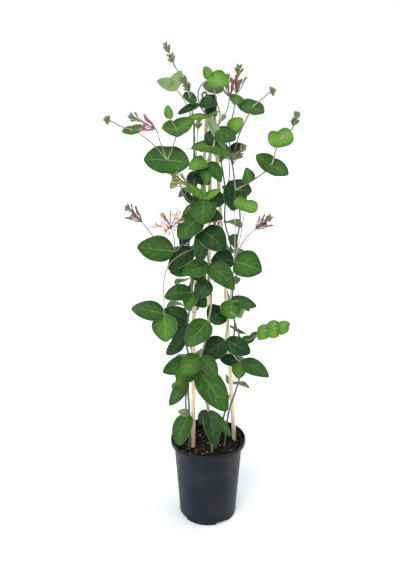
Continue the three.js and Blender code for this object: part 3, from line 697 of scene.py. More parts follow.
def pot_plastic():
    look = settings().pot
    recipe = Recipe("pot_plastic", Roughness=0.42, Specular_IOR_Level=0.17)
    where = recipe.place()
    streaks = recipe.noise(recipe.place((1.0, 1.0, 0.08)), 60.0, 3.0)
    scuffs = recipe.noise(where, 130.0, 5.0, 0.65)
    dust = recipe.noise(where, 18.0, 4.0)
    clean = recipe.mix(streaks.step(0.35, 0.7), look.colour, shaded(look.colour, 1.4))
    recipe.feed(
        Base_Color=recipe.mix(dust.step(0.48, 0.75) * 0.12, clean, look.dust_colour),
        Roughness=scuffs.step(0.35, 0.7, 0.34, 0.56),
    )
    recipe.bump(recipe.noise(where, 1400.0, 2.0) * 0.6 + scuffs * 0.4, 0.3 * MM, 0.35)
    return recipe.material


def compost_mix():
    look = settings().compost
    recipe = Recipe("compost", Roughness=0.95, Specular_IOR_Level=0.1)
    tone = recipe.value_of("crumb_tone")
    grain = recipe.noise(recipe.place(), 500.0, 4.0, 0.7)
    colour = recipe.ramp(
        tone + (grain - 0.5) * 0.3,
        [(0.0, look.colour), (0.35, shaded(look.colour, 2.2)), (0.7, look.bark_colour),
         (1.0, look.speck_colour)],
    )
    recipe.feed(Base_Color=colour)
    recipe.bump(grain, MM, 0.9)
    return recipe.material


def bamboo():
    """Straw with fine fibres, browner at the joints, and browner and darker in the upper lengths as
    painted shade under the foliage.
    """
    look = settings().canes
    recipe = Recipe("bamboo", Roughness=0.5, Specular_IOR_Level=0.45)
    where = recipe.place()
    height = recipe.node("SeparateXYZ", {}, {0: where}, output=2)
    fibres = recipe.noise(recipe.place((1.0, 1.0, 0.02)), 900.0, 3.0)
    blotches = recipe.noise(recipe.place((1.0, 1.0, 0.25)), 35.0, 3.0)
    colour = recipe.mix(blotches.step(0.35, 0.72), look.colour, look.dark_colour)
    for amount, darkness in (
        (fibres.step(0.5, 0.75) * 0.15, 0.7),
        # Painted shade: the canes darken from 0.5 m up to 0.72 m, where the foliage covers them.
        (height.step(0.5, 0.72) * 0.6, 0.4),
        (recipe.value_of("cane_run").step(0.35, 0.9) * 0.6, 0.45),
    ):
        colour = recipe.mix(amount, colour, shaded(look.dark_colour, darkness))
    recipe.feed(Base_Color=colour, Roughness=fibres.step(0.3, 0.8, 0.38, 0.6))
    recipe.bump(fibres * 0.6 + recipe.noise(where, 1500.0) * 0.2, 0.3 * MM, 0.5)
    return recipe.material


def cap_plastic():
    look = settings().cap
    recipe = Recipe("cap_plastic", Roughness=0.45, Specular_IOR_Level=0.2)
    where = recipe.place()
    wear = recipe.noise(where, 90.0, 4.0)
    recipe.feed(
        Base_Color=recipe.mix(wear.step(0.4, 0.7), look.colour, shaded(look.colour, 1.7)),
        Roughness=wear.step(0.3, 0.7, 0.32, 0.52),
    )
    recipe.bump(recipe.noise(where, 900.0, 3.0), 0.2 * MM, 0.4)
    return recipe.material


def floor_paper():
    look = settings().stage
    # The floor glows faintly all over: painted light that lifts the shadows cast on it.
    recipe = Recipe("floor_paper", Roughness=0.9, Specular_IOR_Level=0.0, Emission_Strength=0.06)
    grain = recipe.noise(recipe.place(), 40.0).step(0.3, 0.7)
    recipe.feed(Base_Color=recipe.mix(grain, look.floor_colour, shaded(look.floor_colour, 0.985)))
    return recipe.material


# ------------------------------------------------------------------ leaves

LEAF_LIFT = 35.0             # degrees that a leaf face looks up
BLADE_SPREAD = 1.06          # width against the plan, to make up for the pointed ends


def outlines(names, *rows):
    """Shapes of a blade, a row of numbers each, under these names."""
    return [dict(zip(names.split(), row)) for row in rows]


# Blades are modelled once each and copied. fold: how much the edges rise over the midrib.
# arch: how high the blade arches. tip: how far its end turns down. wave: the height of its
# edge waves. lean: how far it curves sideways. seed: of the waves.
# A leaf's foot and point say how blunt the one and how sharp the other is.
LEAVES = outlines(
    "foot point fold arch tip wave lean seed",
    (0.52, 0.80, 0.16, 0.10, 0.05, 0.030, 0.00, 3),
    (0.48, 0.70, 0.30, 0.12, 0.10, 0.022, 0.04, 8),
    (0.56, 0.92, 0.08, 0.16, 0.14, 0.040, -0.05, 15),
    (0.50, 0.68, -0.10, 0.14, 0.12, 0.034, 0.03, 21),
    (0.60, 0.84, 0.22, 0.05, -0.03, 0.045, -0.03, 34),
)
PETAL = LEAVES[1]
# A disc's waist is its width at the stem, flare how its halves widen from there, blunt how
# far their sides stay wide, and close how sharply they end. The last is a young one.
DISCS = outlines(
    "waist flare blunt close fold arch tip wave lean seed",
    (0.95, 0.75, 1.7, 0.96, 0.16, 0.06, 0.05, 0.030, 0.00, 5),
    (0.93, 0.60, 1.8, 0.90, 0.08, 0.08, 0.10, 0.036, 0.00, 12),
    (0.80, 0.50, 2.6, 0.58, 0.14, 0.10, 0.02, 0.020, 0.00, 27),
)
# Where the cross rows of points lie, from the foot at 0, or from tip to tip of a disc.
LEAF_ROWS = (0.0, 0.035, 0.1, 0.2, 0.33, 0.48, 0.62, 0.75, 0.86, 0.94, 1.0)
DISC_ROWS = (-1.0, -0.95, -0.86, -0.7, -0.45, -0.2, 0.0, 0.2, 0.45, 0.7, 0.86, 0.95, 1.0)
BLADE_COLUMNS = 6
WAVES = 11                   # how closely the edge waves follow each other
DISC_TURN = 0.3              # length of a disc's middle, where one half turns into the other
PARKED = 2.0                 # rows wait this far off, clear of those already in place
ROW_REACH, POINT_REACH = 0.01, 0.001     # how far along a row or a point is looked for
NARROWEST = 1e-5             # width of a row that ends in a point, until its points merge
MERGE_REACH = 1e-4


def leaf_half_width(shape, along):
    foot, point = shape["foot"], shape["point"]
    widest = foot / (foot + point)
    full = widest**foot * (1 - widest) ** point
    return 0.5 * along**foot * max(0.0, 1 - along) ** point / full


def disc_half_width(shape, along):
    closing = max(0.0, 1 - along ** shape["blunt"]) ** shape["close"]
    return 0.5 * (shape["waist"] + shape["flare"] * along) * closing


def leaf_rise(shape, along):
    return shape["arch"] * math.sin(math.pi * along) - shape["tip"] * along**3


def disc_rise(shape, along):
    """A disc is a shallow bowl round the stem whose tips turn down."""
    return shape["arch"] * along**1.6 - 1.2 * shape["tip"] * along**5


def near(y, y_reach=ROW_REACH, x=0.0, x_reach=math.inf):
    """Tells of a point whether it lies in a row at y, or also near x where x_reach is given."""
    return lambda co: abs(co.y - y) < y_reach and abs(co.x - x) < x_reach


def blade_sheet(piece_name, rows, half_width, rise_of, shape):
    """A single sheet of unit width, its foot or middle at the origin and its length
    along +Y: rows of a grid are moved to their places, narrowed and raised."""
    start_fresh()
    count = len(rows) - 1
    bpy.ops.mesh.primitive_grid_add(
        x_subdivisions=BLADE_COLUMNS, y_subdivisions=count, size=1, location=(0, 0, 0)
    )
    piece = begin(piece_name)
    for row in reversed(range(len(rows))):
        start = -0.5 + row / count
        pick(piece, near(start))
        bpy.ops.transform.translate(value=(0, PARKED + row - start, 0))
    waves = random.Random(shape["seed"])
    phases = waves.uniform(0, 6), waves.uniform(0, 6)
    for row, place in enumerate(rows):
        half = half_width(shape, abs(place))
        middle = shape["lean"] * math.sin(math.pi * place)
        pick(piece, near(PARKED + row))
        bpy.ops.transform.resize(
            value=(max(2 * half, NARROWEST), 1, 1), center_override=(0, PARKED + row, 0)
        )
        rise = rise_of(shape, abs(place))
        bpy.ops.transform.translate(value=(middle, place - PARKED - row, rise))
        for side, phase in zip((-1, 1), phases):
            wave = shape["wave"] * math.sin(WAVES * place + phase) * min(1, 4 * half)
            for part in (1 / 3, 2 / 3, 1):
                column = middle + side * half * part
                pick(piece, near(place, POINT_REACH, column, 0.02 * half + NARROWEST))
                lift = half * shape["fold"] * part + wave * part**2
                bpy.ops.transform.translate(value=(0, 0, lift))
    finish_mesh(piece, outward=False, merge=MERGE_REACH)
    add_modifier(piece, "SUBSURF", levels=1, render_levels=1)
    return piece


def grown_leaf(piece_name, shape):
    return take_shape(blade_sheet(piece_name, LEAF_ROWS, leaf_half_width, leaf_rise, shape))


def grown_disc(piece_name, shape):
    """Both halves in one sheet. Its map runs from the stem out to each tip."""
    piece = blade_sheet(piece_name, DISC_ROWS, disc_half_width, disc_rise, shape)
    for corner in piece.data.uv_layers.active.data:
        corner.uv.y = abs(2 * corner.uv.y - 1)
    return take_shape(piece)


def direction(lift, face):
    """Where a leaf face looks: degrees over the floor, and degrees round Z."""
    up, round_z = math.radians(lift), math.radians(face)
    return Vector(
        (math.cos(up) * math.cos(round_z), math.cos(up) * math.sin(round_z), math.sin(up))
    )


def blade_axes(reach, facing):
    """(side, along, up) of a blade that reaches from its foot to its tip."""
    along = reach.normalized()
    up = (facing - along * facing.dot(along)).normalized()
    return along.cross(up), along, up


def leaf_place(foot, reach, width, facing):
    """Lays a blade from its foot along its reach."""
    side, along, up = blade_axes(reach, facing)
    length = reach.length
    side *= BLADE_SPREAD

    def place(co):
        return foot + side * (width * co.x) + along * (length * co.y) + up * (width * co.z)

    return place


def disc_place(foot, reach, other_reach, width, facing):
    """The two halves bend apart at the stem, and their axes turn over smoothly there."""
    axes = blade_axes(reach, facing)
    other = blade_axes(other_reach, facing)
    back = (-other[0], -other[1], other[2])
    lengths = (reach.length, other_reach.length)

    def place(co):
        near = clamped(0.5 + co.y / DISC_TURN)
        near = near * near * (3 - 2 * near)
        side = (axes[0] * near + back[0] * (1 - near)).normalized() * BLADE_SPREAD
        up = (axes[2] * near + back[2] * (1 - near)).normalized()
        run = axes[1] * (lengths[0] * co.y) if co.y > 0 else back[1] * (lengths[1] * co.y)
        return foot + side * (width * co.x) + run + up * (width * co.z)

    return place


class HONEYSUCKLE_OT_leaves(Operator):
    """Grow the leaves and the joined leaf discs of every vine"""

    bl_idname = "honeysuckle.leaves"
    bl_label = "Leaves"

    def execute(self, context):
        look = settings().leaves
        leaves = [grown_leaf(f"leaf_{k}", shape) for k, shape in enumerate(LEAVES)]
        *discs, young_disc = [grown_disc(f"disc_{k}", shape) for k, shape in enumerate(DISCS)]
        materials = (leaf_top(), leaf_underside())
        chance = random.Random(7)
        for vine_name, vine in VINES.items():
            parts = []
            usual = [LEAF_LIFT, vine["face"]]
            for grown in vine["stems"]:
                feet = [Vector(point) * MM for point in grown["path"]]
                for node, x, y, z, width, age_and_shade in grown["leaves"]:
                    reach = Vector((x, y, z)) * MM
                    place = leaf_place(feet[node], reach, width * MM, direction(*usual))
                    tone = age_and_shade + chance.uniform(-0.06, 0.06)
                    parts.append(copy_of(chance.choice(leaves), "leaf", place, leaf_age=tone))
                for node, tip, other_tip, width, age_and_shade, *facing in grown["discs"]:
                    reaches = Vector(tip) * MM, Vector(other_tip) * MM
                    facing = direction(*facing, *usual[len(facing):])
                    place = disc_place(feet[node], *reaches, width * MM, facing)
                    shape = young_disc if age_and_shade == YOUNG else chance.choice(discs)
                    parts.append(copy_of(shape, "disc", place, leaf_age=age_and_shade))
            piece = joined(vine_name + "_leaves", parts)
            fit_out(piece, materials, [vine_name])
            add_modifier(
                piece, "SOLIDIFY", thickness=look.thickness, offset=0.0, material_offset=1,
                material_offset_rim=0,
            )
            shade(piece)
        return {"FINISHED"}


# ------------------------------------------------------------------ stems

PALE_REACH = 24 * MM         # how far a stem stays pale from a joined leaf disc
KNUCKLE_SWELL = 1.12         # a knuckle's radius against its stem's
KNUCKLE_LENGTH = 1.6         # half its length, in radii


def youth_near(co, youth, joints):
    """Stems are palest where two leaves are grown together round them."""
    near = min(((co - joint).length for joint in joints), default=PALE_REACH)
    return youth + (1 - youth) * clamped(1 - near / PALE_REACH)


def stem_tube(piece_name, points, radii, youth, joints=()):
    """A round stem along a smooth curve through the points, with a radius at each."""
    start_fresh()
    bpy.ops.curve.primitive_bezier_curve_add()
    piece = bpy.context.active_object
    piece.name = piece_name
    curve = piece.data
    curve.splines.clear()
    line = curve.splines.new("BEZIER")
    line.bezier_points.add(len(points) - 1)
    for knot, point, radius in zip(line.bezier_points, points, radii):
        knot.co = point
        knot.handle_left_type = knot.handle_right_type = "AUTO"
        knot.radius = radius
    curve.dimensions = "3D"
    curve.resolution_u = 6
    curve.bevel_depth = 1.0
    curve.bevel_resolution = 2
    curve.use_fill_caps = True
    bpy.ops.object.convert(target="MESH")
    piece = begin(piece_name)
    finish_mesh(piece)
    settle(piece)
    tones = [youth_near(vertex.co, youth, joints) for vertex in piece.data.vertices]
    mark(piece.data, "stem_youth", tones)
    return piece


def stem_knuckle():
    """The swelling of a stem where its leaves sit, modelled once along +Z."""
    rings = [(0.9, -1.0), (1.0, -0.6), (1.22, -0.15), (1.3, 0.2), (1.1, 0.6), (0.9, 1.0)]
    return take_shape(turned("knuckle", rings, 8))


class HONEYSUCKLE_OT_stems(Operator):
    """Grow the stems of every vine, from the compost to the shoot tips"""

    bl_idname = "honeysuckle.stems"
    bl_label = "Stems"

    def execute(self, context):
        look = settings().stems
        bark = stem_bark()
        knuckle = stem_knuckle()
        for vine_name, vine in VINES.items():
            parts = []
            joints = [
                Vector(grown["path"][disc[0]]) * MM
                for grown in vine["stems"]
                for disc in grown["discs"]
            ]
            for k, grown in enumerate(vine["stems"]):
                points = [Vector(point) * MM for point in grown["path"]]
                girth = grown["radius"] * MM * look.girth
                last = len(points) - 1
                radii = [girth * (1 - look.taper * i / last) for i in range(last + 1)]
                youth = vine["youth"][min(k, len(vine["youth"]) - 1)]
                parts.append(stem_tube("stem", points, radii, youth, joints))
                busy = {leaf[0] for leaf in grown["leaves"]} | {disc[0] for disc in grown["discs"]}
                for i in sorted(busy):
                    after = points[min(last, i + 1)] - points[max(0, i - 1)]
                    stand = standing_frame(points[i], after, (1, 0, 0))
                    size = radii[i] * KNUCKLE_SWELL
                    half = size * KNUCKLE_LENGTH

                    def place(co, stand=stand, size=size, half=half):
                        return stand(Vector((co.x * size, co.y * size, co.z * half)))

                    parts.append(copy_of(knuckle, "knuckle", place, stem_youth=youth))
            piece = joined(vine_name + "_stems", parts)
            fit_out(piece, [bark], [vine_name])
            shade(piece)
        return {"FINISHED"}


# ------------------------------------------------------------------ flower heads

BUD_SIDES = 6
BUD_PROFILES = {
    # (girth, height), of a bud one long and one in radius
    "bud": [(0.35, 0.0), (0.55, 0.12), (0.85, 0.38), (1.0, 0.62), (0.8, 0.84), (0.12, 1.0)],
    "club": [(0.5, 0.0), (0.36, 0.12), (0.4, 0.4), (0.62, 0.64), (0.95, 0.82), (0.85, 0.93),
             (0.15, 1.0)],
    "thread": [(0.5, 0.0), (0.45, 0.4), (0.4, 0.85), (0.8, 0.9), (0.9, 0.96), (0.2, 1.0)],
    "stalk": [(1.0, 0.0), (0.85, 0.2), (0.9, 0.3), (0.65, 0.65), (0.7, 0.75), (0.3, 1.0)],
}
CROSSWISE = Vector((0.31, 0.87, 0.38))   # no stem runs along it: rings of buds start from it
HEAD_SEAT = 1.0              # mm that a head stands off its stem's end
STALK_ROOT = 0.8             # mm that its stalk reaches back into the stem
STALK_GIRTH = 1.15
LEAN_SPREAD = 0.18           # by what share of itself the lean of a bud varies
LENGTH_SPREAD = 0.12         # and its length
RIPE_SPREAD = 0.12
BLUSH_SPREAD = 0.3


def bud_shape(kind):
    """A turned bud along +Z, mapped from its foot to its tip."""
    piece = turned(kind, BUD_PROFILES[kind], BUD_SIDES)
    if not piece.data.uv_layers:
        piece.data.uv_layers.new(name="UVMap")
    layer = piece.data.uv_layers.active.data
    for loop in piece.data.loops:
        co = piece.data.vertices[loop.vertex_index].co
        layer[loop.index].uv = (0.5 + math.atan2(co.y, co.x) / math.tau, co.z)
    return take_shape(piece)


def leaning(axis, out, degrees):
    """A direction that leans from the axis outwards."""
    tilt = math.radians(degrees)
    return axis * math.cos(tilt) + out * math.sin(tilt)


def outward(axis, turn):
    """Straight out from the axis, on the side that the turn gives."""
    start = CROSSWISE.cross(axis).normalized()
    return Matrix.Rotation(turn, 3, axis) @ start


def bud_place(at, along, out, length, girth, sweep=0.0):
    """Stands a bud at a point. sweep bends it outwards, then back, as a share of its length."""
    stand = standing_frame(at, along, out)

    def place(co):
        bend = sweep * length * math.sin(math.pi * co.z) * math.sin(math.pi * (0.5 - co.z) * 0.9)
        bend += abs(sweep) * 0.35 * length * math.sin(math.pi * co.z)
        return stand(Vector((co.x * girth + bend, co.y * girth, co.z * length)))

    return place


class HeadMaker:
    """Gathers the parts of one flower head."""

    def __init__(self, shapes, head_name):
        self.shapes = shapes
        self.kind, at, aim, self.blush = HEADS[head_name]
        self.axis = Vector(aim).normalized()
        self.reach = Vector(aim).length
        self.base = Vector(at) + self.axis * HEAD_SEAT
        self.parts = []
        self.chance = random.Random(head_name)

    def bud(self, shape, foot, along, out, length, girth, ripe, sweep=0.0):
        place = bud_place(foot * MM, along, out, length * MM, girth * MM, sweep)
        blush = self.blush
        if blush >= 0:
            blush = clamped(blush + self.chance.uniform(-BLUSH_SPREAD, BLUSH_SPREAD))
        self.parts.append(copy_of(self.shapes[shape], shape, place, ripe=ripe, blush=blush))

    def stalk(self):
        foot, length = self.base - self.axis * STALK_ROOT, self.reach + STALK_ROOT
        self.bud("stalk", foot, self.axis, outward(self.axis, 0), length, STALK_GIRTH, 0.25)

    def whorl(self, at, count, length, lean, girth, turn=0.0, shape="bud", ripe=0.0, sweep=0.0):
        """A ring of buds round the stalk, at a height on it in mm."""
        foot = self.base + self.axis * at
        for k in range(count):
            out = outward(self.axis, turn + math.tau * k / count)
            along = leaning(self.axis, out, lean * (1 + LEAN_SPREAD * math.sin(5 * k + turn)))
            grown = length * (1 + LENGTH_SPREAD * math.cos(3 * k))
            ripened = clamped(ripe + self.chance.uniform(-RIPE_SPREAD, RIPE_SPREAD))
            self.bud(shape, foot, along, out, grown, girth, ripened, sweep)


def spray(head):
    head.stalk()
    head.whorl(0.2 * head.reach, 5, 12, 36, 2.1, ripe=0.2)
    head.whorl(0.42 * head.reach, 4, 9, 38, 1.9, turn=0.5, ripe=0.15)
    head.whorl(0.65 * head.reach, 6, 13, 25, 2.2, turn=1, ripe=0.1)
    head.whorl(0.88 * head.reach, 4, 9, 16, 1.9, turn=0.2, ripe=0.05)


def ball(head):
    head.stalk()
    head.whorl(2, 4, 8, 80, 2.2, ripe=0.1)
    head.whorl(2.5, 5, 7, 58, 2.0, turn=0.9, ripe=0.05)
    head.whorl(3, 3, 8, 35, 2.2, turn=0.6, ripe=0.0)
    head.whorl(4, 2, 7, 12, 1.8, turn=1.4, ripe=0.0)


def tubes(head):
    head.stalk()
    head.whorl(2, 6, 28, 30, 2.0, shape="club", ripe=0.95, sweep=0.12)
    head.whorl(4, 4, 18, 20, 1.9, turn=0.5, shape="club", ripe=0.85, sweep=0.1)
    head.whorl(0.62 * head.reach, 4, 15, 28, 2.0, turn=0.8, shape="club", ripe=0.3)
    head.whorl(0.85 * head.reach, 5, 11, 22, 2.0, turn=0.3, ripe=0.1)


def finish_head(head_name, part_name, parts, material, wall=None):
    """Joins parts of a head. A wall gives a single sheet its thickness."""
    piece = joined(f"{head_name}_{part_name}", parts)
    fit_out(piece, [material], [head_name])
    if wall:
        add_modifier(piece, "SOLIDIFY", thickness=wall, offset=0.0)
    shade(piece)


def grow_heads(builders, shape_names):
    """Grows every head whose kind has a builder here, from copies of these shapes."""
    shapes = {name: bud_shape(name) for name in shape_names}
    skin = bud_skin()
    for head_name, (kind, *_) in HEADS.items():
        if kind in builders:
            head = HeadMaker(shapes, head_name)
            builders[kind](head)
            finish_head(head_name, "buds", head.parts, skin)


class HONEYSUCKLE_OT_bud_heads(Operator):
    """Grow the green heads: bud sprays and bud balls"""

    bl_idname = "honeysuckle.bud_heads"
    bl_label = "Green bud heads"

    def execute(self, context):
        grow_heads({"spray": spray, "ball": ball}, ("bud", "stalk"))
        return {"FINISHED"}


class HONEYSUCKLE_OT_tube_heads(Operator):
    """Grow the heads of long red tubes that are about to open"""

    bl_idname = "honeysuckle.tube_heads"
    bl_label = "Tube heads"

    def execute(self, context):
        grow_heads({"tubes": tubes}, ("bud", "club", "stalk"))
        return {"FINISHED"}


# The open flowers of one head: lengths in mm, angles in degrees.
FLOWER_COUNT = 5
FLOWER_HUB = 2.4             # from the head's foot to where the flowers start
FLOWER_LEAN = 62.0
FLOWER_LEAN_SPREAD = 0.3
FLOWER_TUBE = 22.0
FLOWER_MOUTH = 20.0          # where the lips and the threads leave the tube
FLOWER_GIRTH = 1.9
# The broad upper lip and the narrow lower one: lift, length, width, and how far they curl.
LIPS = ((50, 20, 9, -1.2), (-55, 16, 5, 1.5))
THREADS = 4                  # in each flower
THREAD_LENGTH, THREAD_STEP = 15, 1       # the longest, and by how much each next is shorter
THREAD_LIFT, THREAD_FAN = 9, 7           # of their middle, and from each to the next
THREAD_SPLAY = 0.12          # how far they part to either side, by turns
THREAD_GIRTH = 0.8


def petal_place(mouth, along, facing, length, width, curl):
    """Lays a blade as a petal that curls back on itself towards its tip."""
    side, run, up = blade_axes(along, facing)

    def place(co):
        turn = curl * co.y
        forward = math.sin(turn) / curl * length
        rise = (1 - math.cos(turn)) / curl * length
        return mouth + side * (width * co.x) + run * forward + up * (rise + width * co.z)

    return place


class HONEYSUCKLE_OT_open_head(Operator):
    """Grow the head whose flowers are open, with lips and stamens"""

    bl_idname = "honeysuckle.open_head"
    bl_label = "Open head"

    def execute(self, context):
        look = settings().heads
        head_name = "head_open"
        shapes = {name: bud_shape(name) for name in ("club", "stalk", "thread")}
        petal = grown_leaf("petal", PETAL)
        head = HeadMaker(shapes, head_name)
        head.stalk()
        head.whorl(0.5 * head.reach, 3, 20, 25, 1.6, turn=0.4, shape="club", ripe=0.5, sweep=0.12)
        head.whorl(2, 4, 17, 55, 1.5, turn=0.1, shape="club", ripe=0.9, sweep=0.15)
        head.whorl(1, 6, 15, 92, 1.5, turn=0.5, shape="club", ripe=0.95, sweep=0.12)
        hub = head.base + head.axis * FLOWER_HUB
        petals, threads = [], []
        for k in range(FLOWER_COUNT):
            turn = k * GOLDEN
            out = outward(head.axis, turn)
            lean = FLOWER_LEAN * (1 + FLOWER_LEAN_SPREAD * math.sin(4 * turn))
            aim = leaning(head.axis, out, lean)
            mouth = hub + aim * FLOWER_MOUTH
            back = (head.axis - aim * head.axis.dot(aim)).normalized()
            head.bud("club", hub, aim, out, FLOWER_TUBE, FLOWER_GIRTH, 0.95, 0.05)
            for lift, length, width, curl in LIPS:
                along = leaning(aim, back, lift)
                place = petal_place(mouth * MM, along, aim, length * MM, width * MM, curl)
                petals.append(copy_of(petal, "petal", place))
            for j in range(THREADS):
                along = leaning(aim, back, THREAD_LIFT + THREAD_FAN * (j - (THREADS - 1) / 2))
                along += aim.cross(back) * (THREAD_SPLAY if j % 2 else -THREAD_SPLAY)
                length = (THREAD_LENGTH - THREAD_STEP * j) * MM
                place = bud_place(mouth * MM, along, back, length, THREAD_GIRTH * MM, 0.06)
                threads.append(copy_of(shapes["thread"], "thread", place))
        finish_head(head_name, "tubes", head.parts, bud_skin())
        finish_head(head_name, "lips", petals, petal_skin(), look.petal_thickness)
        finish_head(head_name, "stamens", threads, stamen_skin())
        return {"FINISHED"}


# ------------------------------------------------------------------ pot, compost, canes

POT_SIDES = 72
POT_CREASE = math.radians(32)
NOTCH_ANGLES = (30, 120, 210, 300)
NOTCH_SIZE = (14 * MM, 27 * MM, 10 * MM)     # through the wall, along it, and high
NOTCH_ROUNDING = 3 * MM


def pot_wall_radius(height):
    """Radius of the outside of the wall, under the lip."""
    look = settings().pot
    share = height / (look.height - look.lip_height)
    return look.base_radius + (look.neck_radius - look.base_radius) * share


def notch_cutter(turn):
    """What is cut away for one drainage notch, this many degrees round the foot."""
    start_fresh()
    bpy.ops.mesh.primitive_cube_add(size=1, location=(settings().pot.base_radius, 0, 0))
    cutter = begin("notch")
    bpy.ops.mesh.select_all(action="SELECT")
    bpy.ops.transform.resize(value=NOTCH_SIZE)
    bpy.ops.object.mode_set(mode="OBJECT")
    add_modifier(cutter, "BEVEL", width=NOTCH_ROUNDING, segments=3)
    settle(cutter)
    cutter.data.transform(Matrix.Rotation(math.radians(turn), 4, "Z"))
    return cutter


class HONEYSUCKLE_OT_pot(Operator):
    """Mould the nursery pot"""

    bl_idname = "honeysuckle.pot"
    bl_label = "Pot"

    def execute(self, context):
        look = settings().pot
        top, rim, wall = look.height, look.rim_radius, look.wall
        under = top - look.lip_height
        profile = [
            # the foot, and the bead over it
            (look.base_radius - 4 * MM, 0.0), (look.base_radius - 1.2 * MM, 0.0),
            (look.base_radius, 1.2 * MM), (pot_wall_radius(7 * MM), 7 * MM),
            (pot_wall_radius(7.6 * MM) + 0.5 * MM, 7.6 * MM),
            (pot_wall_radius(8.6 * MM) + 0.5 * MM, 8.6 * MM),
            # the wall
            (pot_wall_radius(9.2 * MM), 9.2 * MM), (pot_wall_radius(under * 0.5), under * 0.5),
            (pot_wall_radius(under - 3 * MM), under - 3 * MM),
            (pot_wall_radius(under) + 0.4 * MM, under - 0.6 * MM),
            # the lip, over its top and down behind it
            (rim - 1.6 * MM, under), (rim - 0.5 * MM, under + 0.8 * MM), (rim, under + 2 * MM),
            (rim, top - 1.2 * MM), (rim - 0.4 * MM, top - 0.4 * MM), (rim - 1.0 * MM, top),
            (rim - 1.6 * MM, top - 0.3 * MM), (rim - wall, top - 1.2 * MM),
            (rim - wall, under + wall + 2 * MM), (rim - wall - 1.2 * MM, under + wall + 0.4 * MM),
            # the inside, down to the floor
            (pot_wall_radius(under) - wall, under + wall - 1 * MM),
            (pot_wall_radius(look.floor) - wall, look.floor + 1 * MM),
            (pot_wall_radius(look.floor) - wall - 1 * MM, look.floor),
        ]
        piece = turned("pot_shell", profile, POT_SIDES)
        for turn in NOTCH_ANGLES:
            cutter = notch_cutter(turn)
            add_modifier(piece, "BOOLEAN", operation="DIFFERENCE", solver="EXACT", object=cutter)
            bpy.data.objects.remove(cutter)
        fit_out(piece, [pot_plastic()], ["pot"])
        shade(piece, POT_CREASE)
        return {"FINISHED"}


FILL_SIDES, FILL_RINGS = 56, 16
FILL_BOTTOM = 3.3 * MM
FILL_GAP = 2.3 * MM          # from the outside of the pot's wall to the compost
EVEN_EDGE = 6 * MM           # towards the wall the lumps die away over this width
ROUGHNESS = 0.9              # mm
CRUMB_SHAPES = 4
CRUMB_SIZES = (0.9, 1.1, 1.4, 1.9, 2.6)      # radii in mm
CRUMB_TONES = (0.0, 0.0, 0.05, 0.1, 0.15, 0.3, 0.65)     # from compost 0 to bark, and specks 1
CRUMB_REACH = 0.965          # how near to the wall crumbs lie
CRUMB_SEAT = 0.25            # how far up a crumb lies, in radii
CRUMB_TILT = 0.6
CRUMB_CREASE = math.radians(40)
SPECK_SHARE, SPECK_SIZE = 0.035, 1.2 * MM


def compost_lumps(x, y, edge):
    """Height of the lumps here in mm, and how far inside it is: 0 at the wall, 1 further in."""
    inside = clamped((edge - math.hypot(x, y)) / EVEN_EDGE)
    x, y = x / MM, y / MM
    lumps = 2 * math.sin(0.09 * x + 1) * math.cos(0.11 * y)
    lumps += 1.2 * math.sin(0.37 * x + 2) * math.cos(0.41 * y)
    return lumps * inside, inside


def crumb_shape(seed):
    start_fresh()
    bpy.ops.mesh.primitive_ico_sphere_add(subdivisions=1, radius=1, location=(0, 0, 0))
    piece = begin(f"crumb_{seed}")
    bpy.ops.mesh.select_all(action="SELECT")
    bpy.ops.transform.vertex_random(offset=0.35, uniform=0.6, normal=0.2, seed=seed)
    return take_shape(finish_mesh(piece, CRUMB_CREASE))


def loose_crumb(chance, shapes, edge, level):
    """A crumb somewhere on the compost: a bit of it, of bark, or a white speck."""
    radius = edge * math.sqrt(chance.random()) * CRUMB_REACH
    turn = chance.uniform(0, math.tau)
    x, y = radius * math.cos(turn), radius * math.sin(turn)
    size = chance.choice(CRUMB_SIZES) * MM
    tone = chance.choice(CRUMB_TONES)
    if chance.random() < SPECK_SHARE:
        tone, size = 1.0, SPECK_SIZE
    height, _ = compost_lumps(x, y, edge)
    at = Vector((x, y, level + height * MM + CRUMB_SEAT * size))
    spin = Matrix.Rotation(chance.uniform(0, math.tau), 3, "Z")
    tilt = Matrix.Rotation(chance.uniform(-CRUMB_TILT, CRUMB_TILT), 3, "X")
    stretch = Vector((chance.uniform(0.8, 1.9), chance.uniform(0.7, 1.1), 0.6))

    def place(co):
        return at + spin @ tilt @ Vector(a * b * size for a, b in zip(co, stretch))

    return copy_of(chance.choice(shapes), "crumb", place, crumb_tone=tone)


class HONEYSUCKLE_OT_compost(Operator):
    """Fill the pot with crumbly compost"""

    bl_idname = "honeysuckle.compost"
    bl_label = "Compost"

    def execute(self, context):
        look = settings().compost
        level = look.level
        edge = pot_wall_radius(level) - FILL_GAP
        profile = [(pot_wall_radius(FILL_BOTTOM) - FILL_GAP, FILL_BOTTOM), (edge, level - 2 * MM)]
        profile += [
            (edge * (1 - ring / FILL_RINGS) + 0.2 * MM, level) for ring in range(1, FILL_RINGS)
        ]
        profile.append((0.5 * MM, level))
        piece = turned("compost_fill", profile, FILL_SIDES)
        chance = random.Random(11)
        for vertex in piece.data.vertices:
            if vertex.co.z >= level - 3 * MM:
                height, inside = compost_lumps(vertex.co.x, vertex.co.y, edge)
                height += chance.uniform(-ROUGHNESS, ROUGHNESS) * (0.3 + inside)
                vertex.co.z += height * MM
        mark(piece.data, "crumb_tone", [0.0] * len(piece.data.vertices))
        shapes = [crumb_shape(seed) for seed in range(CRUMB_SHAPES)]
        crumbs = [loose_crumb(chance, shapes, edge, level) for _ in range(look.crumbs)]
        fill = joined("compost_fill", [piece, *crumbs])
        fit_out(fill, [compost_mix()], ["soil"])
        shade(fill, CRUMB_CREASE)
        return {"FINISHED"}


CANE_SIDES = 20
CANE_CREASE = math.radians(40)
CANE_JOINTS = (0.04, 0.55)   # where the rings are on the upper length, from 0 to 1
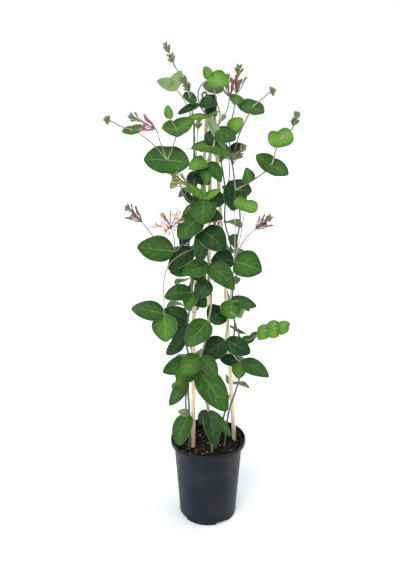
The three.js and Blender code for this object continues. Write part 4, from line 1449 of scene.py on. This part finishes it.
# A ring: how far it stands out from the cane and how far over the joint, in mm.
CANE_RING = (
    (0, -9), (0.15, -3.2), (0.55, -1.6), (0.8, -0.6), (0.7, 0), (-0.1, 0.5), (0.25, 1.2), (0, 4),
)
RING_STAIN = 6 * MM          # how far from a joint the cane is darker


def cane_profile(lower, upper, joints):
    """A cane along +Z with the raised rings of its joints and a sawn tip. lower and upper are
    its two lengths, under and over the joint at which it is bowed."""
    look = settings().canes

    def radius(height):
        if height < lower:
            return look.foot_radius + (look.bend_radius - look.foot_radius) * height / lower
        return look.bend_radius + (look.tip_radius - look.bend_radius) * (height - lower) / upper

    profile = [(radius(0) - 0.3 * MM, 0.0), (radius(0), 0.4 * MM), (radius(lower), lower)]
    for at in joints:
        profile += [(radius(at) + out * MM, at + over * MM) for out, over in CANE_RING]
    top = lower + upper
    profile += [(radius(top), top - 0.8 * MM), (radius(top) - 0.5 * MM, top)]
    return profile


class HONEYSUCKLE_OT_canes(Operator):
    """Cut the three bamboo canes of the tripod"""

    bl_idname = "honeysuckle.canes"
    bl_label = "Canes"

    def execute(self, context):
        look = settings().canes
        material = bamboo()
        for cane_name, knots in CANES.items():
            neck, bend, tip = (Vector(knot) * MM for knot in knots)
            foot = neck + (neck - bend).normalized() * look.buried
            lower, upper = (bend - foot).length, (tip - bend).length
            joints = [lower + at * upper for at in CANE_JOINTS]
            straight = turned(cane_name, cane_profile(lower, upper, joints), CANE_SIDES)
            shape = take_shape(straight)
            below = standing_frame(foot, bend - foot, (1, 0, 0))
            above = standing_frame(bend, tip - bend, (1, 0, 0))

            def place(co, below=below, above=above, lower=lower):
                return below(co) if co.z < lower else above(co - Vector((0, 0, lower)))

            piece = copy_of(shape, cane_name + "_rod", place)
            nearest = [min(abs(v.co.z - joint) for joint in joints) for v in shape.vertices]
            mark(piece.data, "cane_run", [clamped(1 - near / RING_STAIN) for near in nearest])
            fit_out(piece, [material], [cane_name])
            shade(piece, CANE_CREASE)
        return {"FINISHED"}


CAP_SIDES = 32
CAP_CREASE = math.radians(35)
CAP_X, CAP_Y, CAP_BOTTOM, CAP_TOP = 2 * MM, 7 * MM, 792 * MM, 828 * MM
# The hook: points from the middle of the cap's top, in mm.
HOOK_ROUTE = ((-6, -5, -2), (-9, -6, 3), (-13, -7, 2), (-14.5, -7, -3), (-12, -8, -7))
HOOK_RADIUS = 1.4 * MM


class HONEYSUCKLE_OT_cap(Operator):
    """Mould the cap that holds the cane tops together"""

    bl_idname = "honeysuckle.cap"
    bl_label = "Cane cap"

    def execute(self, context):
        radius = settings().cap.radius
        height = CAP_TOP - CAP_BOTTOM
        profile = [
            # the flange round its foot
            (radius - 0.6 * MM, 0.0), (radius, 0.6 * MM), (radius, 3.4 * MM),
            (radius - 0.6 * MM, 4 * MM), (radius - 1.2 * MM, 4.3 * MM),
            # the side with a rib round it
            (radius - 1.2 * MM, 16 * MM), (radius - 0.8 * MM, 16.4 * MM),
            (radius - 0.8 * MM, 17.6 * MM), (radius - 1.2 * MM, 18 * MM),
            # the domed top
            (radius - 1.2 * MM, height - 5 * MM), (radius - 2.4 * MM, height - 2 * MM),
            (radius - 5 * MM, height - 0.4 * MM), (radius - 8 * MM, height), (0.6 * MM, height),
        ]
        shape = take_shape(turned("cap", profile, CAP_SIDES))
        upright = standing_frame((CAP_X, CAP_Y, CAP_BOTTOM), (0, 0, 1), (1, 0, 0))
        body = copy_of(shape, "cap", upright)
        points = [
            Vector((CAP_X + x * MM, CAP_Y + y * MM, CAP_TOP + z * MM)) for x, y, z in HOOK_ROUTE
        ]
        hook = stem_tube("hook", points, [HOOK_RADIUS] * len(points), 0.0)
        piece = joined("cap_moulding", [body, hook])
        fit_out(piece, [cap_plastic()], ["cane_cap"])
        shade(piece, CAP_CREASE)
        return {"FINISHED"}


# ------------------------------------------------------------------ stage


FLOOR_DROP = 0.2 * MM        # the floor lies this far under the pot's foot
LIT_POINT = Vector((0, 0, 0.45))
KEY_PLACE = (-1.0, -1.7, 1.8)
TOP_PLACE = (0.5, 0.1, 2.6)
NEAREST, FARTHEST = 0.05, 100.0      # what the camera sees lies between these


def lay_floor(look):
    start_fresh()
    bpy.ops.mesh.primitive_plane_add(size=look.floor_size, location=(0, 0, -FLOOR_DROP))
    floor = bpy.context.active_object
    floor.name = "floor"
    floor.data.materials.append(floor_paper())


def light_all_round(look):
    """A pale sky that lights everything, though the camera sees plain white in its place."""
    world = bpy.data.worlds.new("studio")
    world.use_nodes = True
    nodes = world.node_tree.nodes
    sky = nodes["Background"]
    sky.inputs["Color"].default_value = (*look.sky_colour, 1)
    sky.inputs["Strength"].default_value = look.sky_strength
    backdrop = nodes.new("ShaderNodeBackground")
    backdrop.inputs["Color"].default_value = (1, 1, 1, 1)
    seen = nodes.new("ShaderNodeLightPath")
    chosen = nodes.new("ShaderNodeMixShader")
    for source, target in (
        (seen.outputs["Is Camera Ray"], chosen.inputs[0]),
        (sky.outputs[0], chosen.inputs[1]),
        (backdrop.outputs[0], chosen.inputs[2]),
        (chosen.outputs[0], nodes["World Output"].inputs["Surface"]),
    ):
        world.node_tree.links.new(source, target)
    bpy.context.scene.world = world


def hang_sun(light_name, place, softness, strength):
    """A soft light from this place on, turned to the middle of the plant."""
    lamp = bpy.data.lights.new(light_name, "SUN")
    lamp.angle, lamp.energy = softness, strength
    holder = bpy.data.objects.new(light_name, lamp)
    holder.location = place
    aim = LIT_POINT - Vector(place)
    holder.rotation_euler = aim.to_track_quat("-Z", "Y").to_euler()
    bpy.context.scene.collection.objects.link(holder)


def set_camera(look):
    lens = bpy.data.cameras.new("camera")
    lens.sensor_fit = "AUTO"
    lens.angle = look.view_angle
    lens.dof.use_dof = False
    lens.clip_start, lens.clip_end = NEAREST, FARTHEST
    camera = bpy.data.objects.new("camera", lens)
    camera.location = (0, -look.camera_distance, look.camera_height)
    camera.rotation_euler = (math.radians(90) - look.camera_pitch, 0, look.camera_turn)
    bpy.context.scene.collection.objects.link(camera)
    bpy.context.scene.camera = camera


class HONEYSUCKLE_OT_stage(Operator):
    """Set the floor, the soft light and the camera"""

    bl_idname = "honeysuckle.stage"
    bl_label = "Stage"

    def execute(self, context):
        look = settings().stage
        lay_floor(look)
        light_all_round(look)
        hang_sun("key", KEY_PLACE, look.softness, look.key_strength)
        hang_sun("top", TOP_PLACE, look.softness, look.top_strength)
        set_camera(look)
        context.scene.view_settings.view_transform = "Standard"
        return {"FINISHED"}


# ------------------------------------------------------------------ settings


def colour(name, description, default):
    return FloatVectorProperty(
        name=name, description=description, default=default, subtype="COLOR", size=3, min=0, max=1
    )


def length(name, description, default):
    return FloatProperty(name=name, description=description, default=default, min=0, unit="LENGTH")


def angle(name, description, default):
    return FloatProperty(name=name, description=description, default=default, subtype="ANGLE")


def number(name, description, default, **limits):
    return FloatProperty(name=name, description=description, default=default, **limits)


class LeafSettings(PropertyGroup):
    thickness: length("Thickness", "Thickness of a leaf", 0.5 * MM)
    # The old leaf colour is also painted shade: leaves set darker inside the plant, and the blade
    # margins, are tinted towards it.
    old_colour: colour("Dark leaf", "Colour of the oldest leaves and of painted shade on leaves", (0.008, 0.034, 0.009))
    full_colour: colour("Grown leaf", "Colour of a full-grown leaf", (0.029, 0.096, 0.012))
    fresh_colour: colour("Fresh leaf", "Colour of a fresh leaf", (0.062, 0.165, 0.016))
    young_colour: colour("Young leaf", "Colour of the youngest leaves", (0.13, 0.30, 0.035))
    under_colour: colour("Underside", "Colour of a leaf from below", (0.20, 0.30, 0.12))
    vein_colour: colour("Veins", "Colour of the midrib and the veins", (0.26, 0.38, 0.13))


class StemSettings(PropertyGroup):
    girth: number("Girth", "Thickness of the stems against the plan", 0.9, min=0.3, max=1.0)
    taper: number("Taper", "Share of its girth that a stem loses", 0.3, subtype="FACTOR")
    old_colour: colour("Old bark", "Colour of an old stem", (0.17, 0.14, 0.10))
    purple_colour: colour("Shoot", "Colour of a shoot", (0.145, 0.125, 0.115))
    young_colour: colour("Young shoot", "Colour of a young shoot", (0.44, 0.48, 0.32))


class HeadSettings(PropertyGroup):
    petal_thickness: length("Petal thickness", "Thickness of a petal", 0.3 * MM)
    bud_colour: colour("Bud", "Colour of a green bud", (0.135, 0.235, 0.075))
    bud_tip_colour: colour("Bud tip", "Colour of a bud's tip", (0.095, 0.125, 0.045))
    tube_colour: colour("Tube", "Colour of a tube", (0.17, 0.052, 0.034))
    pink_colour: colour("Pink tube", "Colour of a pink tube", (0.36, 0.13, 0.19))
    pale_pink_colour: colour("Pale pink", "Colour of a tube's light side", (0.60, 0.33, 0.40))
    yellow_colour: colour("Yellow", "Colour of a yellow-green tube", (0.34, 0.34, 0.10))
    cream_colour: colour("Cream", "Colour of a flower's throat", (0.86, 0.68, 0.43))
    coral_colour: colour("Coral", "Colour of a flower's lips", (0.80, 0.38, 0.35))
    anther_colour: colour("Anther", "Colour of the anthers", (0.42, 0.28, 0.06))


class PotSettings(PropertyGroup):
    height: length("Height", "Height of the pot", POT_BOX[1].z)
    rim_radius: length("Rim radius", "Radius of the lip", POT_BOX[1].x)
    neck_radius: length("Neck radius", "Radius just under the lip", 68.5 * MM)
    base_radius: length("Base radius", "Radius of the foot", 57.3 * MM)
    wall: length("Wall", "Thickness of the wall", 2 * MM)
    floor: length("Floor", "Thickness of the floor", 3 * MM)
    lip_height: length("Lip height", "Height of the lip", 11 * MM)
    colour: colour("Plastic", "Colour of the pot", (0.006, 0.0072, 0.0115))
    dust_colour: colour("Dust", "Colour of dried dirt on the pot", (0.08, 0.08, 0.085))


class CompostSettings(PropertyGroup):
    level: length("Level", "Height of the compost over the table", 151 * MM)
    crumbs: IntProperty(name="Crumbs", description="Number of loose crumbs", default=1100, min=0)
    colour: colour("Compost", "Colour of the compost", (0.013, 0.010, 0.008))
    bark_colour: colour("Bark", "Colour of the bark bits", (0.115, 0.083, 0.065))
    speck_colour: colour("Specks", "Colour of the white specks", (0.72, 0.70, 0.66))


class CaneSettings(PropertyGroup):
    foot_radius: length("Foot radius", "Radius of a cane at its foot", 4.4 * MM)
    bend_radius: length("Joint radius", "Radius of a cane where it is bowed", 3.8 * MM)
    tip_radius: length("Tip radius", "Radius of a cane at its tip", 3 * MM)
    buried: length("Buried", "Length of a cane inside the compost", 14 * MM)
    colour: colour("Straw", "Colour of the cane", (1.0, 0.87, 0.60))
    dark_colour: colour("Dark straw", "Colour of the cane's darker parts", (0.95, 0.74, 0.46))


class CapSettings(PropertyGroup):
    radius: length("Radius", "Radius of the cap's foot", 12 * MM)
    colour: colour("Plastic", "Colour of the cap", (0.012, 0.018, 0.014))


class StageSettings(PropertyGroup):
    floor_size: length("Floor", "Width of the floor", 40.0)
    floor_colour: colour("Floor", "Colour of the floor", (0.92, 0.945, 0.965))
    sky_colour: colour("Sky", "Colour of the light all round", (0.94, 0.98, 1.0))
    sky_strength: number("Sky strength", "Strength of the light all round", 0.55, min=0)
    key_strength: number("Key", "Strength of the light from the left front", 2.3, min=0)
    top_strength: number("Top", "Strength of the light from above", 1.35, min=0)
    softness: angle("Softness", "How wide the lights look", math.radians(50))
    camera_distance: length("Camera distance", "From the middle of the pot", 1.100)
    camera_height: length("Camera height", "Over the floor", 0.806)
    camera_pitch: angle("Camera pitch", "How far it looks down", math.radians(16.2))
    camera_turn: angle("Camera turn", "How far it looks left", math.radians(0.85))
    view_angle: angle("View angle", "Angle of the frame's long side", 2 * math.atan(285 / 611))


def subgroup(kind, name, description):
    return PointerProperty(type=kind, name=name, description=description)


class HoneysuckleSettings(PropertyGroup):
    leaves: subgroup(LeafSettings, "Leaves", "Sizes and colours of the leaves")
    stems: subgroup(StemSettings, "Stems", "Sizes and colours of the stems")
    heads: subgroup(HeadSettings, "Heads", "Colours of the flower heads")
    pot: subgroup(PotSettings, "Pot", "Sizes and colours of the pot")
    compost: subgroup(CompostSettings, "Compost", "The compost")
    canes: subgroup(CaneSettings, "Canes", "Sizes and colours of the canes")
    cap: subgroup(CapSettings, "Cap", "The cane cap")
    stage: subgroup(StageSettings, "Stage", "Floor, light and camera")


MAKERS = (
    HONEYSUCKLE_OT_pot,
    HONEYSUCKLE_OT_compost,
    HONEYSUCKLE_OT_canes,
    HONEYSUCKLE_OT_cap,
    HONEYSUCKLE_OT_stems,
    HONEYSUCKLE_OT_leaves,
    HONEYSUCKLE_OT_bud_heads,
    HONEYSUCKLE_OT_tube_heads,
    HONEYSUCKLE_OT_open_head,
    HONEYSUCKLE_OT_stage,
)
GROUPS = ("leaves", "stems", "heads", "pot", "compost", "canes", "cap", "stage")


class HONEYSUCKLE_PT_panel(Panel):
    """Pieces of the potted honeysuckle"""

    bl_label = "Potted honeysuckle"
    bl_idname = "HONEYSUCKLE_PT_panel"
    bl_space_type = "VIEW_3D"
    bl_region_type = "UI"
    bl_category = "Honeysuckle"

    def draw(self, context):
        for maker in MAKERS:
            self.layout.operator(maker.bl_idname)
        for group in GROUPS:
            box = self.layout.box()
            box.label(text=group.title())
            values = getattr(context.scene.honeysuckle, group)
            for name in values.bl_rna.properties.keys():
                if name not in ("name", "rna_type"):
                    box.prop(values, name)


CLASSES = (
    LeafSettings,
    StemSettings,
    HeadSettings,
    PotSettings,
    CompostSettings,
    CaneSettings,
    CapSettings,
    StageSettings,
    HoneysuckleSettings,
    *MAKERS,
    HONEYSUCKLE_PT_panel,
)


def register():
    for made in CLASSES:
        bpy.utils.register_class(made)
    bpy.types.Scene.honeysuckle = PointerProperty(type=HoneysuckleSettings)


def unregister():
    del bpy.types.Scene.honeysuckle
    for made in reversed(CLASSES):
        bpy.utils.unregister_class(made)


def main():
    register()
    for maker in MAKERS:
        group, _, name = maker.bl_idname.partition(".")
        getattr(getattr(bpy.ops, group), name)()


if __name__ == "__main__":
    main()
